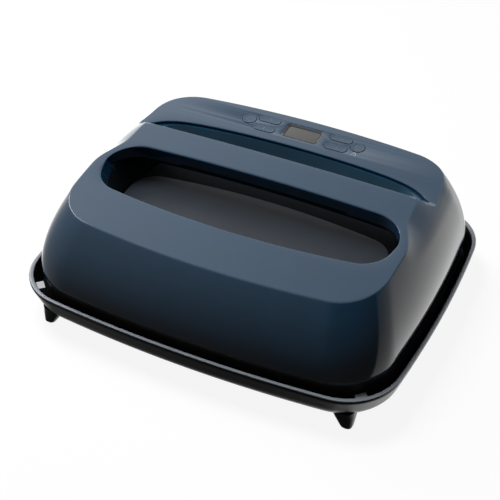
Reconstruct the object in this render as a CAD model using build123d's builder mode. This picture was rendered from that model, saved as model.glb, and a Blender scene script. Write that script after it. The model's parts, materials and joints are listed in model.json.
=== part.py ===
from build123d import *
import math
import os

os.makedirs("parts", exist_ok=True)

# Handheld heat press resting in its insulated base tray. Millimetres, Z up.
# The origin is on the table under the middle of the tray; +X is right, +Y is the rear.

# Bow of the long and the short sides of every rounded outline
end_bow = 10.5
side_bow = 8.0

# Housing walls: upright at the foot, leaning in more and more towards the top
shell_half_w = 165.4
shell_half_d = 132.9
shell_corner = 49.0
shell_bottom = 44.4
shell_top = 117.0
shell_wall = 3.0
front_lean = 26.5
side_lean = 16.7
rear_lean = 15.8
lean_power = 1.8
corner_taper = 0.1
wall_steps = 5

# Base tray
tray_gap = 8.6
tray_half_w = shell_half_w + tray_gap
tray_half_d = shell_half_d + tray_gap
tray_corner = 48.5
tray_under = 15.6
tray_rim = 38.0
tray_taper = 6.0
tray_wall = 3.0
tray_floor = 3.0
tray_lip = 3.0

# Feet under the tray
foot_margin_x = 35.0
foot_margin_y = 21.0
foot_x = tray_half_w - foot_margin_x
foot_y = tray_half_d - foot_margin_y
foot_top_r = 10.0
foot_tip_r = 5.0
foot_splay = 4.5
foot_pad_r = 4.4
foot_pad_thick = 2.0
foot_screw_depth = 8.0
fit_gap = 0.3

# Sloping deck and handle top: one plane through the front crease
crease_y = front_lean - shell_half_d
crease_z = 101.7
deck_slope = 0.09

# Rear control panel plane, and the plate that lies in it
panel_y = shell_half_d - 39.45
panel_z = 107.3
panel_slope = 0.06
panel_thick = 3.0
panel_tip_y = 46.0

# Grip opening in the deck, the handle that bridges it and the floor below
grip_side_margin = 29.4
grip_front_margin = 71.9
grip_rear_margin = 61.9
grip_half_w = shell_half_w - grip_side_margin
grip_front = grip_front_margin - shell_half_d
grip_rear = shell_half_d - grip_rear_margin
grip_corner = 27.0
grip_draft = 12.0
grip_rim_z = 107.0
grip_floor_z = 74.0
handle_front = 10.4
handle_rear = 40.4
handle_front_bow = 5.0
handle_rear_bow = 2.6
handle_flare_r = 24.0
handle_flare_x = grip_half_w - handle_flare_r - 0.5
handle_under = 96.5
handle_edge_r = 6.0
cheek_crease_x = shell_half_w - 32.9
cheek_r = 17.0
cheek_turn = 59.0
cheek_solid_z = 86.0
cheek_run_r = 66.0
cheek_run_y = 6.0

# A reach well past the whole object, for cutters
far = 1.3 * shell_half_w

# Corner guides in the tray
guide_margin_x = 25.0
guide_margin_y = 23.0
guide_x = tray_half_w - guide_margin_x
guide_y = tray_half_d - guide_margin_y
guide_side = 9.0
guide_top = 34.0
skirt_gap = 0.6

# Skirt ring that carries the hot side
skirt_bottom = 24.0
skirt_wall = 3.0
skirt_inset = 2.0
spigot_gap = 0.5
spigot_top = 50.0
flange_thick = 3.0
flange_width = 25.0

# Heat plate with its cast-in groove, heater and covers
plate_margin_x = 13.4
plate_margin_y = 6.9
plate_half_w = shell_half_w - plate_margin_x
plate_half_d = shell_half_d - plate_margin_y
plate_corner = 42.0
plate_thick = 10.0
rest_pad_thick = 3.0
standoff_boss_h = 4.0
heater_r = 3.3
heater_gap = 0.1
heater_margin_x = 40.0
heater_margin_y = 38.0
heater_half_w = plate_half_w - heater_margin_x
heater_half_d = plate_half_d - heater_margin_y
heater_lane = heater_half_d * 2 / 3
heater_bend_r = 22.0
shield_thick = 1.0
chassis_thick = 1.2

# Control panel pieces, measured in the plane of the panel
display_w = 35.0
display_d = 19.0
display_corner = 4.0
round_x = 53.3
round_y = 0.8
round_r = 6.4
pill_x = 35.2
pill_rows = {"rear": 6.4, "front": -7.0}
pill_w = 21.4
pill_d = 8.6
button_gap = 0.35
button_proud = 0.3
button_lip = 0.9
button_lip_thick = 1.2
button_stem_r = 2.0
button_travel = 0.6
board_half_w = 78.0
board_half_d = 18.5
board_depth = 10.6
board_thick = 1.6
switch_height = 4.2

display_lens_w = 31.0
display_lens_d = 15.6
display_lens_sink = 1.4
bezel_fit = 0.15
bezel_lip = 2.0
bezel_lip_thick = 1.2
window_half_w = 70.0
window_half_d = 15.5
panel_edge_show = 0.8

# Parts on the chassis
power_board_x = (-90.0, 50.0)
power_board_y = (shell_half_d - 55.9, shell_half_d - 26.9)
power_board_rise = 5.0
lead_r = 1.5
lead_bend_r = 9.0
terminal_len = 14.0
terminal_w = 12.0
gland_z = 62.0
gland_r = 7.0
gland_flange_r = 9.5
gland_bore_r = 3.6
cover_thick = 4.0
ribbon_w = 12.0
ribbon_thick = 0.8
ribbon_bow = 9.0

# Screws
screw_r = 1.5
screw_head_r = 3.0
screw_head_h = 2.0
boss_r = 5.0
housing_screw_grip = 10.0
standoff_screw_grip = 7.0
tub_screw_grip = 9.0
board_screw_grip = 4.0
panel_screw_grip = 1.8


def deck_z(y, drop=0.0):
    """Height of the deck's plane at a depth y."""
    return crease_z + deck_slope * (y - crease_y) - drop


def panel_plane_z(y, drop=0.0):
    """Height of the rear panel's plane at a depth y."""
    return panel_z + panel_slope * (y - panel_y) - drop


def lean(amount, z):
    """How far a wall has leaned in at height z."""
    share = (z - shell_bottom) / (crease_z - shell_bottom)
    return amount * share ** lean_power


def bulged_outline(half_w, front_y, rear_y):
    """Draw in the open sketch a rectangle whose four sides bow outwards."""
    left, right = side_bow - half_w, half_w - side_bow
    front, rear = front_y + end_bow, rear_y - end_bow
    middle = (front + rear) / 2
    with BuildLine() as line:
        ThreePointArc((left, front), (0, front_y), (right, front))
        ThreePointArc((right, front), (half_w, middle), (right, rear))
        ThreePointArc((right, rear), (0, rear_y), (left, rear))
        ThreePointArc((left, rear), (-half_w, middle), (left, front))
    make_face(line.edges())


def bulged_plate(z, thick, half_w, half_d, corner):
    """A flat plate with the bowed outline, from height z upwards."""
    with BuildPart() as plate:
        with BuildSketch(Plane.XY.offset(z)) as outline:
            bulged_outline(half_w, -half_d, half_d)
            fillet(outline.vertices(), corner)
        extrude(amount=thick)
    return plate.part


def tray_space(clear=0.0):
    """The tapered space inside the tray, down to its floor."""
    with BuildPart() as space:
        for z, inset in ((tray_under + tray_floor, tray_taper), (tray_rim, 0.0)):
            inset += tray_wall + clear
            with BuildSketch(Plane.XY.offset(z)) as section:
                bulged_outline(tray_half_w - inset, inset - tray_half_d, tray_half_d - inset)
                fillet(section.vertices(), tray_corner - inset / 2)
        loft()
    return space.part


def wall_body(inset=0.0, lowest=shell_bottom):
    """The housing's outer form, or one lying a wall's thickness inside it."""
    with BuildPart() as body:
        for step in range(wall_steps + 1):
            z = lowest + (shell_top - lowest) * step / wall_steps
            half_w = shell_half_w - lean(side_lean, z) - inset
            front = lean(front_lean, z) + inset - shell_half_d
            rear = shell_half_d - lean(rear_lean, z) - inset
            with BuildSketch(Plane.XY.offset(z)) as section:
                bulged_outline(half_w, front, rear)
                fillet(section.vertices(), shell_corner - inset - corner_taper * (z - lowest))
        loft()
    return body.part


def sky(drop=0.0, rear_drop=0.0):
    """All that lies above the deck, the handle's top and the rear panel."""
    with BuildPart() as above:
        with BuildSketch(Plane.YZ):
            with BuildLine() as line:
                Polyline(
                    (-far, deck_z(-far, drop)),
                    (handle_rear, deck_z(handle_rear, drop)),
                    (handle_rear, panel_plane_z(handle_rear, rear_drop)),
                    (far, panel_plane_z(far, rear_drop)),
                    (far, far),
                    (-far, far),
                    close=True,
                )
            make_face(line.edges())
        extrude(amount=far, both=True)
    return above.part


def handle_bar(inset, low, high, half_length):
    """A straight stretch of the handle's bar, bowed in plan."""
    front, rear = handle_front + inset, handle_rear - inset
    front_end, rear_end = front - handle_front_bow, rear - handle_rear_bow
    with BuildPart() as bar:
        with BuildSketch(Plane.XY.offset(low)):
            with BuildLine() as line:
                ThreePointArc((-half_length, front_end), (0, front), (half_length, front_end))
                Line((half_length, front_end), (half_length, rear_end))
                ThreePointArc((half_length, rear_end), (0, rear), (-half_length, rear_end))
                Line((-half_length, rear_end), (-half_length, front_end))
            make_face(line.edges())
        extrude(amount=high - low)
    return bar.part


def handle_bridge():
    """The whole handle: its ends flare forwards into the cheeks, its lower edges are round."""
    end_x = grip_half_w + 4
    flare_y = handle_front - handle_front_bow * (handle_flare_x / end_x) ** 2
    rear_end = handle_rear - handle_rear_bow
    bend = handle_flare_r * math.sqrt(0.5)
    with BuildPart() as bridge:
        with BuildSketch(Plane.XY.offset(handle_under)):
            with BuildLine() as line:
                ThreePointArc((-handle_flare_x, flare_y), (0, handle_front), (handle_flare_x, flare_y))
                for side in (1, -1):
                    tip = (side * (handle_flare_x + handle_flare_r), flare_y - handle_flare_r)
                    middle = (side * (handle_flare_x + bend), flare_y - handle_flare_r + bend)
                    ThreePointArc((side * handle_flare_x, flare_y), middle, tip)
                    Polyline(tip, (side * end_x, tip[1]), (side * end_x, rear_end))
                ThreePointArc((end_x, rear_end), (0, handle_rear), (-end_x, rear_end))
            make_face(line.edges())
        extrude(amount=shell_top + 1 - handle_under)
        low_edges = bridge.edges().group_by(Axis.Z)[0]
        fillet(low_edges.filter_by(lambda edge: abs(edge.center().X) < cheek_crease_x), handle_edge_r)
    return bridge.part


def grip_loft(grow=0.0, lowest=grip_floor_z):
    """The drafted opening for the hand, or the tub wall around it."""
    with BuildPart() as opening:
        for z in (lowest, shell_top):
            reach = grow - (grip_rim_z - z) / (grip_rim_z - grip_floor_z) * grip_draft
            with BuildSketch(Plane.XY.offset(z)) as section:
                bulged_outline(grip_half_w + reach, grip_front - reach, grip_rear + reach)
                fillet(section.vertices(), grip_corner + grow)
        loft()
    return opening.part


def screw_group(spots, low, length, plane=Plane.XY):
    """Pan head screws standing at the given spots, heads below."""
    with BuildPart() as screws:
        with BuildSketch(plane.offset(low)):
            with Locations(*spots):
                Circle(screw_head_r)
        extrude(amount=screw_head_h)
        with BuildSketch(plane.offset(low + screw_head_h)):
            with Locations(*spots):
                Circle(screw_r)
        extrude(amount=length)
    return screws.part


def screws_from_above(spots, seat, length):
    """Screws driven downwards, their heads standing on the given height."""
    table = Plane(origin=(0, 0, seat + screw_head_h), x_dir=(1, 0, 0), z_dir=(0, 0, -1))
    return screw_group([(x, -y) for x, y in spots], 0, length, table)


def finish_piece(piece, name):
    """Label a finished piece and write its file."""
    piece.label = name
    export_step(piece, f"parts/{name}.step")


corners = [(1, 1), (-1, 1), (1, -1), (-1, -1)]
panel_plane = Plane(origin=(0, panel_y, panel_z), x_dir=(1, 0, 0), z_dir=(0, -panel_slope, 1))

# Heights that follow from the stack of pieces
rest_pad_z = tray_under + tray_floor
plate_z = rest_pad_z + rest_pad_thick
plate_top = plate_z + plate_thick
flange_z = spigot_top - flange_thick
shield_z = flange_z - shield_thick
chassis_z = spigot_top
chassis_top = chassis_z + chassis_thick
spigot_half_w = shell_half_w - shell_wall - spigot_gap
spigot_half_d = shell_half_d - shell_wall - spigot_gap

boss_x = shell_half_w * 0.45
boss_front_y = 19.4 - shell_half_d
boss_side_x = shell_half_w - 17.4
boss_rear_y = shell_half_d - 17.9
boss_spots = {
    "front": [(-boss_x, boss_front_y), (boss_x, boss_front_y)],
    "side": [(-boss_side_x, 0), (boss_side_x, 0)],
    "rear": [(-boss_x, boss_rear_y), (boss_x, boss_rear_y)],
}
boss_tops = {"front": 80.0, "side": 90.0, "rear": 88.0}
housing_spots = [spot for group in boss_spots.values() for spot in group]
side_standoff = (plate_half_w - 6, plate_half_d / 2)
end_standoff = (plate_half_w / 4, plate_half_d - 14)
standoff_spots = [
    (side[0] * x, side[1] * y) for x, y in (side_standoff, end_standoff) for side in corners
]
tub_x = grip_half_w * 0.7
tub_y = (grip_rear - grip_front) * 0.3
tub_spots = [(side[0] * tub_x, side[1] * tub_y) for side in corners]
foot_spots = [(side[0] * (foot_x - foot_splay), side[1] * (foot_y - foot_splay)) for side in corners]
post_inset = 5.0
post_spots = [
    (x, y)
    for x in (power_board_x[0] + post_inset, power_board_x[1] - post_inset)
    for y in (power_board_y[0] + post_inset, power_board_y[1] - post_inset)
]
board_margin_x, board_margin_y = 3.5, 5.5
board_spots = [
    (side[0] * (board_half_w - board_margin_x), side[1] * (board_half_d - board_margin_y))
    for side in corners
]
panel_front_x, panel_front_y = grip_half_w - 24, -14.0
panel_rear_x, panel_rear_y = grip_half_w - 32, 10.0
panel_spots = [
    (-panel_front_x, panel_front_y),
    (panel_front_x, panel_front_y),
    (-panel_rear_x, panel_rear_y),
    (panel_rear_x, panel_rear_y),
]
handle_screw_x = grip_half_w * 0.676
handle_middle = (handle_front + handle_rear) / 2
handle_spots = [
    (-handle_screw_x, handle_middle - handle_rear_bow / 2),
    (0, handle_middle),
    (handle_screw_x, handle_middle - handle_rear_bow / 2),
]
standoff_low = plate_top + standoff_boss_h
power_board_z = chassis_top + power_board_rise
board_low = -board_depth - board_thick

# Screws, each group made once and cut out of the pieces that it holds
foot_screws = screws_from_above(foot_spots, rest_pad_z, tray_floor + foot_screw_depth)
housing_screws = screw_group(
    housing_spots, flange_z - screw_head_h, flange_thick + chassis_thick + housing_screw_grip
)
standoff_screws = screws_from_above(
    standoff_spots, chassis_top, flange_thick + chassis_thick + standoff_screw_grip
)
tub_screws = screw_group(tub_spots, chassis_z - screw_head_h, chassis_thick + tub_screw_grip)
power_screws = screws_from_above(post_spots, power_board_z + board_thick, board_thick + board_screw_grip)
board_screws = screw_group(
    board_spots, board_low - screw_head_h, board_thick + board_screw_grip, panel_plane
)
panel_screws = screw_group(
    panel_spots, -panel_thick - shell_wall - screw_head_h, shell_wall + panel_screw_grip, panel_plane
)
handle_screws = screw_group(handle_spots, handle_under, cover_thick + board_screw_grip)
finish_piece(foot_screws, "foot_screws")
finish_piece(housing_screws, "housing_screws")
finish_piece(standoff_screws, "standoff_screws")
finish_piece(tub_screws, "tub_screws")
finish_piece(power_screws, "power_board_screws")
finish_piece(board_screws, "control_board_screws")
finish_piece(panel_screws, "panel_screws")
finish_piece(handle_screws, "handle_screws")

# Base tray: a tapered shell with a rounded lip and four sockets for the feet
with BuildPart() as base_tray:
    for z, inset in ((tray_under, tray_taper), (tray_rim - tray_lip, 0.0)):
        with BuildSketch(Plane.XY.offset(z)) as section:
            bulged_outline(tray_half_w - inset, inset - tray_half_d, tray_half_d - inset)
            fillet(section.vertices(), tray_corner - inset / 4)
    loft()
    extrude(base_tray.faces().sort_by(Axis.Z)[-1], amount=tray_lip)
    fillet(base_tray.edges().group_by(Axis.Z)[0], tray_wall)
    add(tray_space(), mode=Mode.SUBTRACT)
    fillet(base_tray.edges().group_by(Axis.Z)[-1], tray_wall / 3)
    add(foot_screws, mode=Mode.SUBTRACT)
finish_piece(base_tray.part, "base_tray")

# Feet: legs that splay outwards, each with its own rubber pad
foot_names = {(1, 1): "rear_right", (-1, 1): "rear_left", (1, -1): "front_right", (-1, -1): "front_left"}
for side in corners:
    tip = (side[0] * foot_x, side[1] * foot_y)
    top = (side[0] * (foot_x - foot_splay), side[1] * (foot_y - foot_splay))
    with BuildPart() as leg:
        for z, radius, spot in ((foot_pad_thick / 2, foot_tip_r, tip), (tray_under, foot_top_r, top)):
            with BuildSketch(Plane.XY.offset(z)):
                with Locations(spot):
                    Circle(radius)
        loft()
        with BuildSketch(Plane.XY.offset(foot_pad_thick / 2)):
            with Locations(tip):
                Circle(foot_pad_r - 1)
        extrude(amount=foot_pad_thick / 2, mode=Mode.SUBTRACT)
        add(foot_screws, mode=Mode.SUBTRACT)
    finish_piece(leg.part, "foot_" + foot_names[side])
    with BuildPart() as rubber:
        with BuildSketch():
            with Locations(tip):
                Circle(foot_pad_r)
        extrude(amount=foot_pad_thick / 2)
        with BuildSketch(Plane.XY.offset(foot_pad_thick / 2)):
            with Locations(tip):
                Circle(foot_pad_r - 1)
        extrude(amount=foot_pad_thick / 2)
    finish_piece(rubber.part, "foot_pad_" + foot_names[side])

# Rest pad in the tray: the hot plate stands on it
finish_piece(
    bulged_plate(rest_pad_z, rest_pad_thick, plate_half_w, plate_half_d, plate_corner), "base_rest_pad"
)

# Corner guides: soft blocks that centre the press in the tray
with BuildPart() as corner_guides:
    with BuildSketch(Plane.XY.offset(rest_pad_z)):
        for side in corners:
            with Locations(Location((side[0] * guide_x, side[1] * guide_y), 45.0)):
                Rectangle(guide_side, guide_side)
    extrude(amount=guide_top - rest_pad_z)
    add(tray_space(), mode=Mode.INTERSECT)
    add(
        bulged_plate(
            rest_pad_z,
            tray_rim - rest_pad_z,
            shell_half_w - skirt_inset + skirt_gap,
            shell_half_d - skirt_inset + skirt_gap,
            shell_corner - skirt_inset + skirt_gap,
        ),
        mode=Mode.SUBTRACT,
    )
finish_piece(corner_guides.part, "corner_guides")

# Skirt: the heat resistant ring between the plate and the housing
skirt_half_w = shell_half_w - skirt_inset
skirt_half_d = shell_half_d - skirt_inset
skirt_corner = shell_corner - skirt_inset
spigot_corner = shell_corner - shell_wall - 1
with BuildPart() as skirt_ring:
    add(bulged_plate(skirt_bottom, shell_bottom - skirt_bottom, skirt_half_w, skirt_half_d, skirt_corner))
    add(bulged_plate(shell_bottom, spigot_top - shell_bottom, spigot_half_w, spigot_half_d, spigot_corner))
    add(
        bulged_plate(
            skirt_bottom,
            shell_bottom - skirt_wall - skirt_bottom,
            skirt_half_w - skirt_wall,
            skirt_half_d - skirt_wall,
            skirt_corner - skirt_wall,
        ),
        mode=Mode.SUBTRACT,
    )
    add(
        bulged_plate(
            skirt_bottom,
            flange_z - skirt_bottom,
            spigot_half_w - skirt_wall,
            spigot_half_d - skirt_wall,
            spigot_corner - skirt_wall,
        ),
        mode=Mode.SUBTRACT,
    )
    add(
        bulged_plate(
            skirt_bottom,
            spigot_top - skirt_bottom,
            spigot_half_w - flange_width,
            spigot_half_d - flange_width,
            shell_corner - flange_width,
        ),
        mode=Mode.SUBTRACT,
    )
    add(housing_screws, mode=Mode.SUBTRACT)
    add(standoff_screws, mode=Mode.SUBTRACT)
finish_piece(skirt_ring.part, "skirt_ring")

# Heater lanes: one serpentine seen from above, the same path for the groove and the tube
lane_points = [
    (heater_half_w, heater_half_d),
    (-heater_half_w, heater_half_d),
    (-heater_half_w, heater_half_d - heater_lane),
    (heater_half_w, heater_half_d - heater_lane),
    (heater_half_w, heater_half_d - 2 * heater_lane),
    (-heater_half_w, heater_half_d - 2 * heater_lane),
    (-heater_half_w, heater_half_d - 3 * heater_lane),
    (heater_half_w, heater_half_d - 3 * heater_lane),
]


def heater_tube(radius):
    """A round tube along the lanes, its axis in the plate's upper face."""
    path = [(x, y, plate_top) for x, y in lane_points]
    with BuildPart() as tube:
        with BuildLine() as lanes:
            FilletPolyline(*path, radius=heater_bend_r)
        with BuildSketch(Plane(origin=lanes.wire() @ 0, z_dir=lanes.wire() % 0)):
            Circle(radius)
        sweep()
    return tube.part


# Standoffs carry the plate below the flange: hexagonal, with a stud in the plate
with BuildPart() as plate_standoffs:
    with BuildSketch(Plane.XY.offset(standoff_low)):
        with Locations(*standoff_spots):
            RegularPolygon(boss_r - 0.5, 6)
    extrude(amount=flange_z - standoff_low)
    add(standoff_screws, mode=Mode.SUBTRACT)
    with BuildSketch(Plane.XY.offset(standoff_low)):
        with Locations(*standoff_spots):
            Circle(screw_r)
    extrude(amount=-7)
finish_piece(plate_standoffs.part, "plate_standoffs")

# Heat plate: cast aluminium with a heater groove and eight standoff bosses
with BuildPart() as heat_plate:
    add(bulged_plate(plate_z, plate_thick, plate_half_w, plate_half_d, plate_corner))
    fillet(heat_plate.edges().group_by(Axis.Z)[0], 1.5)
    with BuildSketch(Plane.XY.offset(plate_top)):
        with Locations(*standoff_spots):
            Circle(boss_r)
    extrude(amount=standoff_boss_h)
    add(heater_tube(heater_r + heater_gap), mode=Mode.SUBTRACT)
    add(plate_standoffs.part, mode=Mode.SUBTRACT)
finish_piece(heat_plate.part, "heat_plate")
finish_piece(heater_tube(heater_r), "heating_element")

# Ceramic terminals at the two ends of the heater
terminal_ends = [lane_points[0][1], lane_points[-1][1]]
heater_end_x = heater_half_w + terminal_len / 2
blanket_z = plate_top + heater_r + fit_gap
terminal_top = shield_z - fit_gap
with BuildPart() as heater_terminals:
    for end_y in terminal_ends:
        with BuildSketch(Plane.XY.offset(plate_top)):
            with Locations((heater_end_x, end_y)):
                RectangleRounded(terminal_len, terminal_w, 2)
        extrude(amount=terminal_top - plate_top)
finish_piece(heater_terminals.part, "heater_terminals")

# Leads from the terminals, up through shield and chassis, and across to the power board
lead_x = heater_end_x + 2
lead_z = power_board_z + board_thick + 3
lead_ends = [terminal_ends[0], power_board_y[0] + 10]


def heater_lead(start_y, end_y, radius):
    """One lead as a round tube along straight runs and round bends."""
    stops = [(lead_x, start_y, terminal_top), (lead_x, start_y, lead_z)]
    if end_y != start_y:
        stops.append((lead_x, end_y, lead_z))
    stops.append((power_board_x[1] - 2, end_y, lead_z))
    with BuildPart() as lead:
        with BuildLine() as run:
            FilletPolyline(*stops, radius=lead_bend_r)
        with BuildSketch(Plane(origin=run.wire() @ 0, z_dir=run.wire() % 0)):
            Circle(radius)
        sweep()
    return lead.part


with BuildPart() as heater_leads:
    for start_y, end_y in zip(terminal_ends, lead_ends):
        add(heater_lead(start_y, end_y, lead_r))
finish_piece(heater_leads.part, "heater_leads")

# Passages for the leads, cut through the sheets above the plate
with BuildPart() as lead_passages:
    with BuildSketch(Plane.XY.offset(shield_z - 1)):
        for end_y in terminal_ends:
            with Locations((lead_x, end_y)):
                Circle(2 * lead_r)
    extrude(amount=chassis_top - shield_z + 2)

# Insulation over the heater, kept inside the ring of standoffs and cut out round the terminals
blanket_thick = shield_z - blanket_z - fit_gap
blanket_half_w = heater_half_w + terminal_len + 8
blanket_half_d = heater_half_d + 14
blanket_corner = 30.0
with BuildPart() as insulation_blanket:
    add(bulged_plate(blanket_z, blanket_thick, blanket_half_w, blanket_half_d, blanket_corner))
    for end_y in terminal_ends:
        with BuildSketch(Plane.XY.offset(blanket_z)):
            with Locations((heater_end_x, end_y)):
                RectangleRounded(terminal_len + 1, terminal_w + 1, 2)
        extrude(amount=blanket_thick, mode=Mode.SUBTRACT)
finish_piece(insulation_blanket.part, "insulation_blanket")

# Temperature sensor: a bead in a clamp, with its body lying on the plate between the lanes
sensor_height = 2.8
clamp_height = 1.2
with BuildPart() as temperature_sensor:
    with BuildSketch(Plane.XY.offset(plate_top)):
        Circle(4)
    extrude(amount=clamp_height)
    with BuildSketch(Plane.XY.offset(plate_top)):
        with Locations((9, 0)):
            RectangleRounded(12, 4, 1)
        Circle(2.4)
    extrude(amount=sensor_height)
finish_piece(temperature_sensor.part, "temperature_sensor")

# Thermal cutoff: a disc thermostat on its strap
cutoff_x = 48.0
strap_thick = 0.8
cutoff_height = 2.4
with BuildPart() as thermal_cutoff:
    with BuildSketch(Plane.XY.offset(plate_top)):
        with Locations((cutoff_x, 0)):
            SlotOverall(24, 8)
    extrude(amount=strap_thick)
    with BuildSketch(Plane.XY.offset(plate_top + strap_thick)):
        with Locations((cutoff_x, 0)):
            Circle(6)
    extrude(amount=cutoff_height)
finish_piece(thermal_cutoff.part, "thermal_cutoff")

# Heat shield sheet under the flange, its rim lapping the flange's inner edge
shield_half_w = spigot_half_w - flange_width + 4
shield_half_d = spigot_half_d - flange_width + 2
shield_corner = 26.0
with BuildPart() as heat_shield:
    add(bulged_plate(shield_z, shield_thick, shield_half_w, shield_half_d, shield_corner))
    add(lead_passages.part, mode=Mode.SUBTRACT)
finish_piece(heat_shield.part, "heat_shield")

# Chassis plate on the flange: carries the boards and the grip tub, with rows of vents
vent_pitch_x, vent_pitch_y = 56.0, 26.0
vent_length, vent_width = 40.0, 8.0
post_r = 3.5
with BuildPart() as chassis_plate:
    add(bulged_plate(chassis_z, chassis_thick, spigot_half_w - 4, spigot_half_d - 4, 40))
    with BuildSketch(Plane.XY.offset(chassis_z)):
        with GridLocations(vent_pitch_x, vent_pitch_y, 3, 3):
            SlotOverall(vent_length, vent_width)
    extrude(amount=chassis_thick, mode=Mode.SUBTRACT)
    with BuildSketch(Plane.XY.offset(chassis_top)):
        with Locations(*post_spots):
            Circle(post_r)
    extrude(amount=power_board_rise)
    add(lead_passages.part, mode=Mode.SUBTRACT)
    for screws in (housing_screws, standoff_screws, tub_screws, power_screws):
        add(screws, mode=Mode.SUBTRACT)
finish_piece(chassis_plate.part, "chassis_plate")

# Grip tub floor: closes the hand opening from below and stands on four legs
tub_low = grip_floor_z - shell_wall
with BuildPart() as grip_tub:
    with BuildSketch(Plane.XY.offset(tub_low)) as outline:
        reach = shell_wall - grip_draft
        bulged_outline(grip_half_w + reach, grip_front - reach, grip_rear + reach)
        fillet(outline.vertices(), grip_corner)
    extrude(amount=shell_wall)
    with BuildSketch(Plane.XY.offset(chassis_top)):
        with Locations(*tub_spots):
            Circle(boss_r)
    extrude(amount=tub_low - chassis_top)
    add(tub_screws, mode=Mode.SUBTRACT)
finish_piece(grip_tub.part, "grip_tub")

# Soft pad on the tub floor, ending under the handle
pad_thick = 1.6
pad_margin = 2.0
pad_under_handle = 16.0
pad_front = grip_front + grip_draft + pad_margin
pad_rear = handle_front + pad_under_handle
pad_corner = 0.3 * (pad_rear - pad_front)
with BuildPart() as grip_pad:
    with BuildSketch(Plane.XY.offset(grip_floor_z)) as outline:
        bulged_outline(grip_half_w - grip_draft - pad_margin, pad_front, pad_rear)
        fillet(outline.vertices(), pad_corner)
    extrude(amount=pad_thick)
finish_piece(grip_pad.part, "grip_pad")

# The space for the hand: the opening less the handle that bridges it
with BuildPart() as hand_space:
    add(grip_loft())
    add(handle_bridge(), mode=Mode.SUBTRACT)

# The hollow inside the housing, which leaves the tub walls and the solid cheeks standing
with BuildPart() as hollow:
    add(wall_body(shell_wall))
    add(sky(shell_wall, panel_thick + shell_wall), mode=Mode.SUBTRACT)
    add(grip_loft(shell_wall), mode=Mode.SUBTRACT)
    with BuildSketch(Plane.XY.offset(cheek_solid_z)):
        with Locations((cheek_crease_x, handle_middle), (-cheek_crease_x, handle_middle)):
            Rectangle(2 * cheek_r, handle_rear - handle_front + cheek_r)
    extrude(amount=shell_top - cheek_solid_z, mode=Mode.SUBTRACT)

# Cheek rounding: a cutter that runs along the handle's end and leaves towards the side
crease_plane = Plane(
    origin=(0, cheek_run_y, deck_z(cheek_run_y)), x_dir=(1, 0, 0), z_dir=(0, -deck_slope, 1)
)
with BuildPart() as cheek_cutter:
    with BuildLine(crease_plane) as route:
        straight = Line((cheek_crease_x, handle_rear - cheek_run_y + 0.2), (cheek_crease_x, 0))
        RadiusArc(straight @ 1, (cheek_crease_x + 24, -50), cheek_run_r, short_sagitta=True)
    start = Plane(origin=route.wire() @ 0, x_dir=(1, 0, 0), z_dir=route.wire() % 0)
    with BuildSketch(start) as waste:
        with BuildLine() as line:
            drop = -cheek_r * (1 - math.cos(math.radians(cheek_turn)))
            run = cheek_r * math.sin(math.radians(cheek_turn))
            RadiusArc((0, 0), (run, drop), cheek_r)
            Polyline((run, drop), (run + 14, drop), (run + 14, 12), (0, 12), (0, 0))
        make_face(line.edges())
    sweep()

# Handle cover: closes the underside of the bar
cover_half_w = grip_half_w - grip_draft - 8
cover_fit = 0.15
cover_top = handle_under + cover_thick
with BuildPart() as handle_cover:
    add(handle_bar(shell_wall + cover_fit, handle_under, cover_top, cover_half_w - cover_fit))
    add(handle_screws, mode=Mode.SUBTRACT)
finish_piece(handle_cover.part, "handle_cover")

# Housing: walls, sloping deck and handle in one moulding
wall_at_gland = shell_half_d - lean(rear_lean, gland_z)
with BuildPart() as housing:
    add(wall_body())
    add(sky(0, panel_thick), mode=Mode.SUBTRACT)
    add(hand_space.part, mode=Mode.SUBTRACT)
    add(cheek_cutter.part, mode=Mode.SUBTRACT)
    add(cheek_cutter.part.mirror(Plane.YZ), mode=Mode.SUBTRACT)
    add(hollow.part, mode=Mode.SUBTRACT)
    add(handle_bar(shell_wall, handle_under - 1, cover_top, cover_half_w), mode=Mode.SUBTRACT)
    with BuildSketch(panel_plane):
        RectangleRounded(2 * window_half_w, 2 * window_half_d, 4)
    extrude(amount=-2 * (shell_wall + panel_thick), mode=Mode.SUBTRACT)
    with BuildSketch(panel_plane.offset(-board_depth)):
        with Locations(*board_spots):
            Circle(screw_head_r)
    extrude(amount=board_depth - panel_thick - shell_wall / 2)
    for name, spots in boss_spots.items():
        with BuildSketch(Plane.XY.offset(chassis_top)):
            with Locations(*spots):
                Circle(boss_r)
        extrude(amount=boss_tops[name] - chassis_top)
    for screws in (housing_screws, board_screws, panel_screws, handle_screws):
        add(screws, mode=Mode.SUBTRACT)
    with BuildSketch(Plane.XZ.offset(-wall_at_gland - 10)):
        with Locations((0, gland_z)):
            Circle(gland_r)
    extrude(amount=20, mode=Mode.SUBTRACT)
finish_piece(housing.part, "housing")

# Control panel: the flush plate over the rear, its front edge standing over the grip opening
with BuildPart() as panel_slab:
    with BuildSketch(Plane.YZ):
        with BuildLine() as line:
            Polyline(
                (panel_tip_y, panel_plane_z(panel_tip_y)),
                (far, panel_plane_z(far)),
                (far, panel_plane_z(far, panel_thick)),
                (panel_tip_y, panel_plane_z(panel_tip_y, panel_thick)),
                close=True,
            )
        make_face(line.edges())
    extrude(amount=far, both=True)

with BuildPart() as control_panel:
    add(wall_body())
    add(panel_slab.part, mode=Mode.INTERSECT)
    add(grip_loft(-panel_edge_show), mode=Mode.SUBTRACT)
    with BuildSketch(panel_plane):
        RectangleRounded(display_w, display_d, display_corner)
        with Locations((-round_x, round_y), (round_x, round_y)):
            Circle(round_r + button_gap)
        for row in pill_rows.values():
            with Locations((-pill_x, row), (pill_x, row)):
                SlotOverall(pill_w + 2 * button_gap, pill_d + 2 * button_gap)
    extrude(amount=-panel_thick, mode=Mode.SUBTRACT)
    add(panel_screws, mode=Mode.SUBTRACT)
finish_piece(control_panel.part, "control_panel")

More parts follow.
